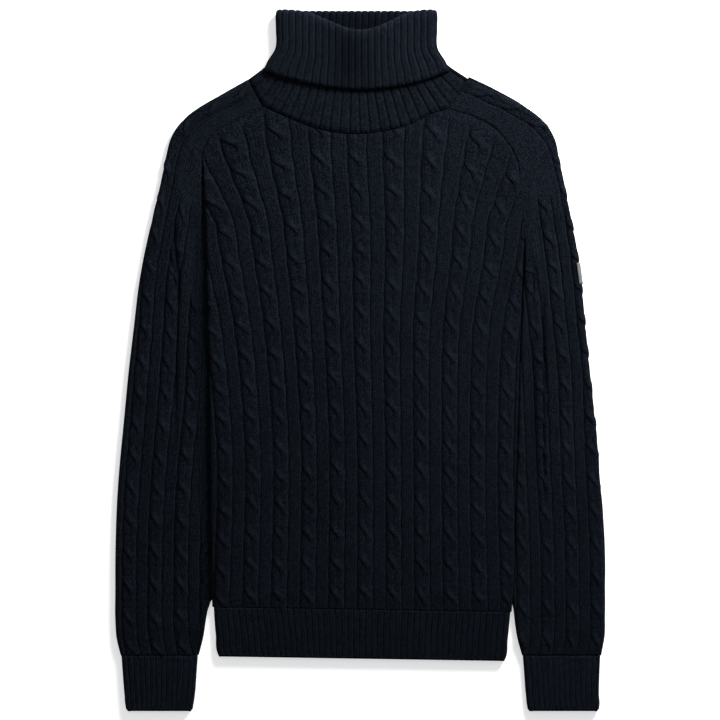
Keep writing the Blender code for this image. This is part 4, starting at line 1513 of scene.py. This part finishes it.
# Painted shade in the stand's grooves.
painted_groove_shade = on_each_row(STAND_GROOVE_SHADE * smooth((STAND_GROOVE_SHADE_FROM - reach) / STAND_GROOVE_SHADE_FADE))
throat = on_each_row(INSIDE_SHADE * smooth((turn_at - 1 - reach) / INSIDE_FADE))
hollow_shade = raised(collar_grid, COLLAR_HOLLOW)
turned = on_each_row(np.exp(-(((reach - turn_at - 1) / EDGE_REACH) ** 2)))
# Painted shade of the throat and the front's hollow, and a painted highlight along the turned edge.
shade = np.maximum(throat, HOLLOW_SHADE * hollow_shade)
shade = shade - EDGE_LIGHT * turned * smooth((collar_grid[..., 2] - 5) / 3)
# The stand's outer face carries a little painted shade all over.
collar_facts = {
    "wale": (collar_wale, collar_wale + 0.5), "course": on_each_row(reach / COLLAR_ROW),
    "painted_groove_shade": (painted_groove_shade, everywhere(collar_grid, 0)),
    "painted_shading": (everywhere(collar_grid, OUTER_SHADE), shade),
}
low = smooth((3.4 - collar_grid[..., 2]) / 1.5)  # its underside is pressed flatter
collar = cloth_wall(
    "collar_knit", collar_grid, RIB_WALL, 0.7, collar_facts, closed=True,
    relief=1 - 0.5 * low, inner_relief=1 - 0.5 * low,
)
dressed(collar, RIB_KNIT, COLLAR_CLOTH_PAINTED_LIGHTER, COLLAR_RIB, "collar")

# %% [markdown]
# ## Hem and cuffs
#
# The hem and the cuffs are short ribbed tubes laid flat. They could use the collar's rings, but
# a simpler ring will do: two flat runs and two half circles, swept from the free edge up to the
# seam. Where the hem was pulled sideways as it was laid down, its ribs lean a little.

# %% Hem and cuffs
HEM = (
    (-342.5, -161.6, 166.6), (-339.5, -163, 168), (-318, -164.8, 170), (-296, -166.8, 172.5),
    (-286, -167.5, 173.5),
)
LEFT_CUFF = (
    (-402.6, -266.4, -193.6), (-400.8, -268.2, -192), (-397, -269, -191.2), (-384, -270, -189.4),
    (-363, -271.6, -187.8), (-339, -273.8, -185.8),
)
RIGHT_CUFF = (
    (-402.6, 195.4, 273.4), (-400.8, 193.8, 275.2), (-397, 193, 276), (-384, 191.8, 275.2),
    (-363, 190.2, 275.6), (-339, 188, 277),
)
BAND_FRONT_Z, BAND_BACK_Z = 6.6, 1.25
BAND_ROW = 2.2  # the height of one row of stitches
HEM_RIBS, CUFF_RIBS = (100, 8, 22), (29, 10, 24)  # ribs, columns on each, and rows
HEM_LEAN, PULLED_X, PULLED_REACH = 0.6, -95, 55


def ribbed_band(name, node, table, slope, sizes, cloth, lean=0.0):
    """A ribbed tube laid flat between the edges in the table, from its free edge to its seam."""
    ribs, columns_a_rib, rows = sizes
    table = np.array(table, float)
    table[-1, 0] -= SEAM_ROOM
    y, left, right = hermite(table[:, 0], table, np.linspace(table[0, 0], table[-1, 0], rows)).T
    radius = (BAND_FRONT_Z - BAND_BACK_Z) / 2
    middle = (BAND_FRONT_Z + BAND_BACK_Z) / 2
    reach = RIB_WALL / 2 + radius
    arc = columns_a_rib * 2
    flat_columns = (ribs * columns_a_rib - 2 * arc) // 2
    angles = math.pi * (np.arange(arc) + 0.5) / arc
    out, up = radius * np.sin(angles), radius * np.cos(angles)
    z = np.concatenate([
        np.full(flat_columns, BAND_FRONT_Z), middle + up,
        np.full(flat_columns, BAND_BACK_Z), middle - up,
    ])
    grid = []
    for row_y, low, high in zip(y, left + reach, right - reach):
        xs = np.linspace(low, high, flat_columns)
        x = np.concatenate([xs, high + out, xs[::-1], low - out])
        grid.append(np.column_stack([x, row_y + slope * x, z]))
    grid = np.array(grid)
    columns = grid.shape[1]
    wale = np.arange(columns) * ribs / columns * everywhere(grid, 1)
    course = (-y / BAND_ROW)[:, None] * everywhere(grid, 1)
    low = smooth((3.2 - grid[..., 2]) / 1.5)  # its underside is pressed flatter
    pulled = lean * np.exp(-(((grid[..., 0] - PULLED_X) / PULLED_REACH) ** 2)) * (1 - low)
    wale -= pulled * np.linspace(1, 0, rows)[:, None]
    facts = {"wale": wale, "course": course}
    piece = cloth_wall(name, grid, RIB_WALL, 0.6, facts, closed=True, relief=1 - 0.5 * low)
    return dressed(piece, RIB_KNIT, cloth, BAND_RIB, node), grid


hem, hem_grid = ribbed_band(
    "hem_band_knit", "hem_band", HEM, HEM_SLOPE, HEM_RIBS, HEM_CLOTH, HEM_LEAN
)
left_cuff, left_cuff_grid = ribbed_band(
    "left_cuff_knit", "left_cuff", LEFT_CUFF, 0.0, CUFF_RIBS, CUFF_CLOTH
)
right_cuff, right_cuff_grid = ribbed_band(
    "right_cuff_knit", "right_cuff", RIGHT_CUFF, 0.0, CUFF_RIBS, CUFF_CLOTH
)

# %% [markdown]
# ## The tab
#
# A small tab of plain, pale grey ribbon is sewn over the outer fold of the right sleeve. It is a
# strip bent round the fold, just outside the knit. Its weave could be modelled thread by thread,
# but a thread is only about half a millimetre wide, so its material draws them.

# %% The tab
TAB_TOP_Y, TAB_FOOT_Y = 112, 88
TAB_WALL = 0.8
TAB_REACH = 6.6  # from the middle of the sleeve's fold to the ribbon
TAB_START, TAB_END = math.radians(72), math.radians(-24)  # up from the fold, and down from it
TAB_ROWS, TAB_COLUMNS = 13, 17
WEFT_THREADS, WARP_THREADS = 40, 30
TAB_DARK, TAB_LIGHT = (0.09, 0.09, 0.088), (0.20, 0.20, 0.195)


def tab_material():
    material, tree, surface = new_material("woven_tab")
    warp = (attribute(tree, "wale") * (2 * math.pi)).math("COSINE")
    weft = (attribute(tree, "course") * (2 * math.pi)).math("COSINE")
    weave = warp * weft * 0.5 + 0.5
    tone = weave * 0.6 + placed(tree, YARN_FIBRES)["Fine"] + 0.2
    blended(tree, tone, TAB_DARK, TAB_LIGHT, surface.inputs["Base Color"])
    bumped(tree, weave, 0.3 * MM, surface)
    set_sockets(surface, {"Roughness": 0.75, "Specular IOR Level": 0.2})
    return material


def tab_grid():
    """Rows of the ribbon from its upper edge down, each from the front over the fold."""
    rows = []
    upper, lower = RIGHT_SHOULDER[-1], RIGHT_SLEEVE[0]
    for y in np.linspace(TAB_TOP_Y, TAB_FOOT_Y, TAB_ROWS):
        fold_x = np.interp(y, [lower[0], upper[5]], [lower[1], upper[4]])
        centre = fold_x - table_at(RIGHT_INSET, y)[0, 0] - FOLD_RADIUS
        angles = np.linspace(TAB_START, TAB_END, TAB_COLUMNS)
        x, z = centre + TAB_REACH * np.cos(angles), MIDDLE_Z + TAB_REACH * np.sin(angles)
        rows.append(np.column_stack([x, np.full(len(x), y), z]))
    return np.array(rows)


ribbon_grid = tab_grid()
threads = {
    "wale": np.linspace(0, WARP_THREADS, TAB_COLUMNS)[None, :] * everywhere(ribbon_grid, 1),
    "course": np.linspace(0, WEFT_THREADS, TAB_ROWS)[:, None] * everywhere(ribbon_grid, 1),
}
tab = cloth_wall("sleeve_tab", ribbon_grid, TAB_WALL, 0.0, threads, flip=True, relief=0.0)
tab.data.materials.append(tab_material())
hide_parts("sleeve_label")
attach(tab, "root")
print("tab:", TAB_TOP_Y - TAB_FOOT_Y, "mm long,", len(tab.data.polygons), "faces")

# %% [markdown]
# ## Seams
#
# The pieces are joined with a navy thread. The thread could be one long cord, but only its
# stitches come up to the surface, so a tree sets a small bead of thread at even steps along
# each seam's line. From afar they read as the fine dotted line of a linked seam.

# %% Seams
SEAM_STITCH = {"Spacing": 2.4 * MM, "Length": 0.9 * MM, "Thickness": 0.45 * MM}


def seam_tree():
    inputs = with_sizes(PIECE_INPUTS, SEAM_STITCH)
    tree, t, end = new_tree("seam_stitches", "GeometryNodeTree", inputs, {"Geometry": SHAPE})
    line, steps, tangent, turn, bead, beads, realise, dress = (
        tree.nodes.new(kind) for kind in (
            "GeometryNodeMeshToCurve", "GeometryNodeResampleCurve", "GeometryNodeInputTangent",
            "FunctionNodeAlignRotationToVector", "GeometryNodeMeshUVSphere",
            "GeometryNodeInstanceOnPoints", "GeometryNodeRealizeInstances",
            "GeometryNodeSetMaterial",
        )
    )
    steps.mode = "LENGTH"
    turn.axis = "X"
    set_sockets(bead, {"Segments": 8, "Rings": 5})
    size = vector_of(tree, t["Length"], t["Thickness"], t["Thickness"])
    for start, finish in (
        (t["Geometry"].socket, line.inputs["Mesh"]),
        (line.outputs["Curve"], steps.inputs["Curve"]),
        (t["Spacing"].socket, steps.inputs["Length"]),
        (tangent.outputs["Tangent"], turn.inputs["Vector"]),
        (steps.outputs["Curve"], beads.inputs["Points"]),
        (bead.outputs["Mesh"], beads.inputs["Instance"]),
        (turn.outputs["Rotation"], beads.inputs["Rotation"]),
        (size.socket, beads.inputs["Scale"]),
        (beads.outputs["Instances"], realise.inputs["Geometry"]),
        (realise.outputs["Geometry"], dress.inputs["Geometry"]),
        (t["Cloth"].socket, dress.inputs["Material"]),
        (dress.outputs["Geometry"], end.inputs["Geometry"]),
    ):
        tree.links.new(start, finish)
    return tree


def thread_material():
    material, tree, surface = new_material("navy_thread")
    fibres = placed(tree, YARN_FIBRES)
    tone = fibres["Fine"] * 1.2 + fibres["Patch"] * 0.5 + 0.16
    blended(tree, tone, NAVY_DEEP, NAVY, surface.inputs["Base Color"])
    set_sockets(surface, {"Roughness": 0.85, "Specular IOR Level": 0.02})
    return material


SEAM_TREE, THREAD = seam_tree(), thread_material()


def seam(name, points, height):
    """A row of stitches along a line of x, y points, at a height above the floor."""
    points = np.column_stack([points, np.full(len(points), height)]) * MM
    mesh = bpy.data.meshes.new(name)
    mesh.from_pydata(points.tolist(), [(i, i + 1) for i in range(len(points) - 1)], [])
    piece = bpy.data.objects.new(name, mesh)
    scene.collection.objects.link(piece)
    knitted(piece, SEAM_TREE, THREAD, SEAM_STITCH)
    piece.data.shade_smooth()
    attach(piece, "root")
    return piece


ARMHOLE_END = ((-181, 208), (-180, 182)), ((183, 203), (185, 182))
SEAM_Z = 6.7
left_line = curve_through((*LEFT_STRAP_EDGE[::-1], *ARMHOLE_END[0]), 160)
right_line = curve_through((*RIGHT_STRAP_EDGE, *ARMHOLE_END[1]), 160)
neck_points = neck_line(NECK_FRONT, 300)[12:-12]
neck_seam = seam("neck_seam", neck_points, SEAM_Z)
left_seam = seam("left_shoulder_seam", left_line, SEAM_Z)
right_seam = seam("right_shoulder_seam", right_line, SEAM_Z)

# %% [markdown]
# ## How each cloth was cut
#
# The flat size of each cloth's knitting is measured from its grid and printed. A tube counts
# all round.

# %% Sheets
def cut_of(grid, closed=False):
    """Greatest width and length of a grid laid out flat, and its area, in metres."""
    ring = np.concatenate([grid, grid[:, :1]], axis=1) if closed else grid
    widths = np.linalg.norm(np.diff(ring, axis=1), axis=2).sum(axis=1)
    lengths = np.linalg.norm(np.diff(ring, axis=0), axis=2).sum(axis=0)
    quads = np.cross(ring[1:, 1:] - ring[:-1, :-1], ring[1:, :-1] - ring[:-1, 1:])
    area = np.linalg.norm(quads, axis=2).sum() / 2
    return widths.max() * MM, lengths.max() * MM, area * MM * MM


for piece, grid, closed, below, sewn_on in (
    (back, back_grid, False, [floor], []),
    (front, front_grid, False, [back], []),
    (left_sleeve, left_grid, False, [floor], [left_seam]),
    (right_sleeve, right_grid, False, [floor], [right_seam]),
    (collar, collar_grid, True, [floor], [neck_seam]),
    (hem, hem_grid, True, [floor], []),
    (left_cuff, left_cuff_grid, True, [floor], []),
    (right_cuff, right_cuff_grid, True, [floor], []),
    (tab, ribbon_grid, False, [right_sleeve], []),
):
    width, length, area = cut_of(grid, closed)
    print(f"{piece.name}: {width:.3f} x {length:.3f} m, {area:.4f} square metres")
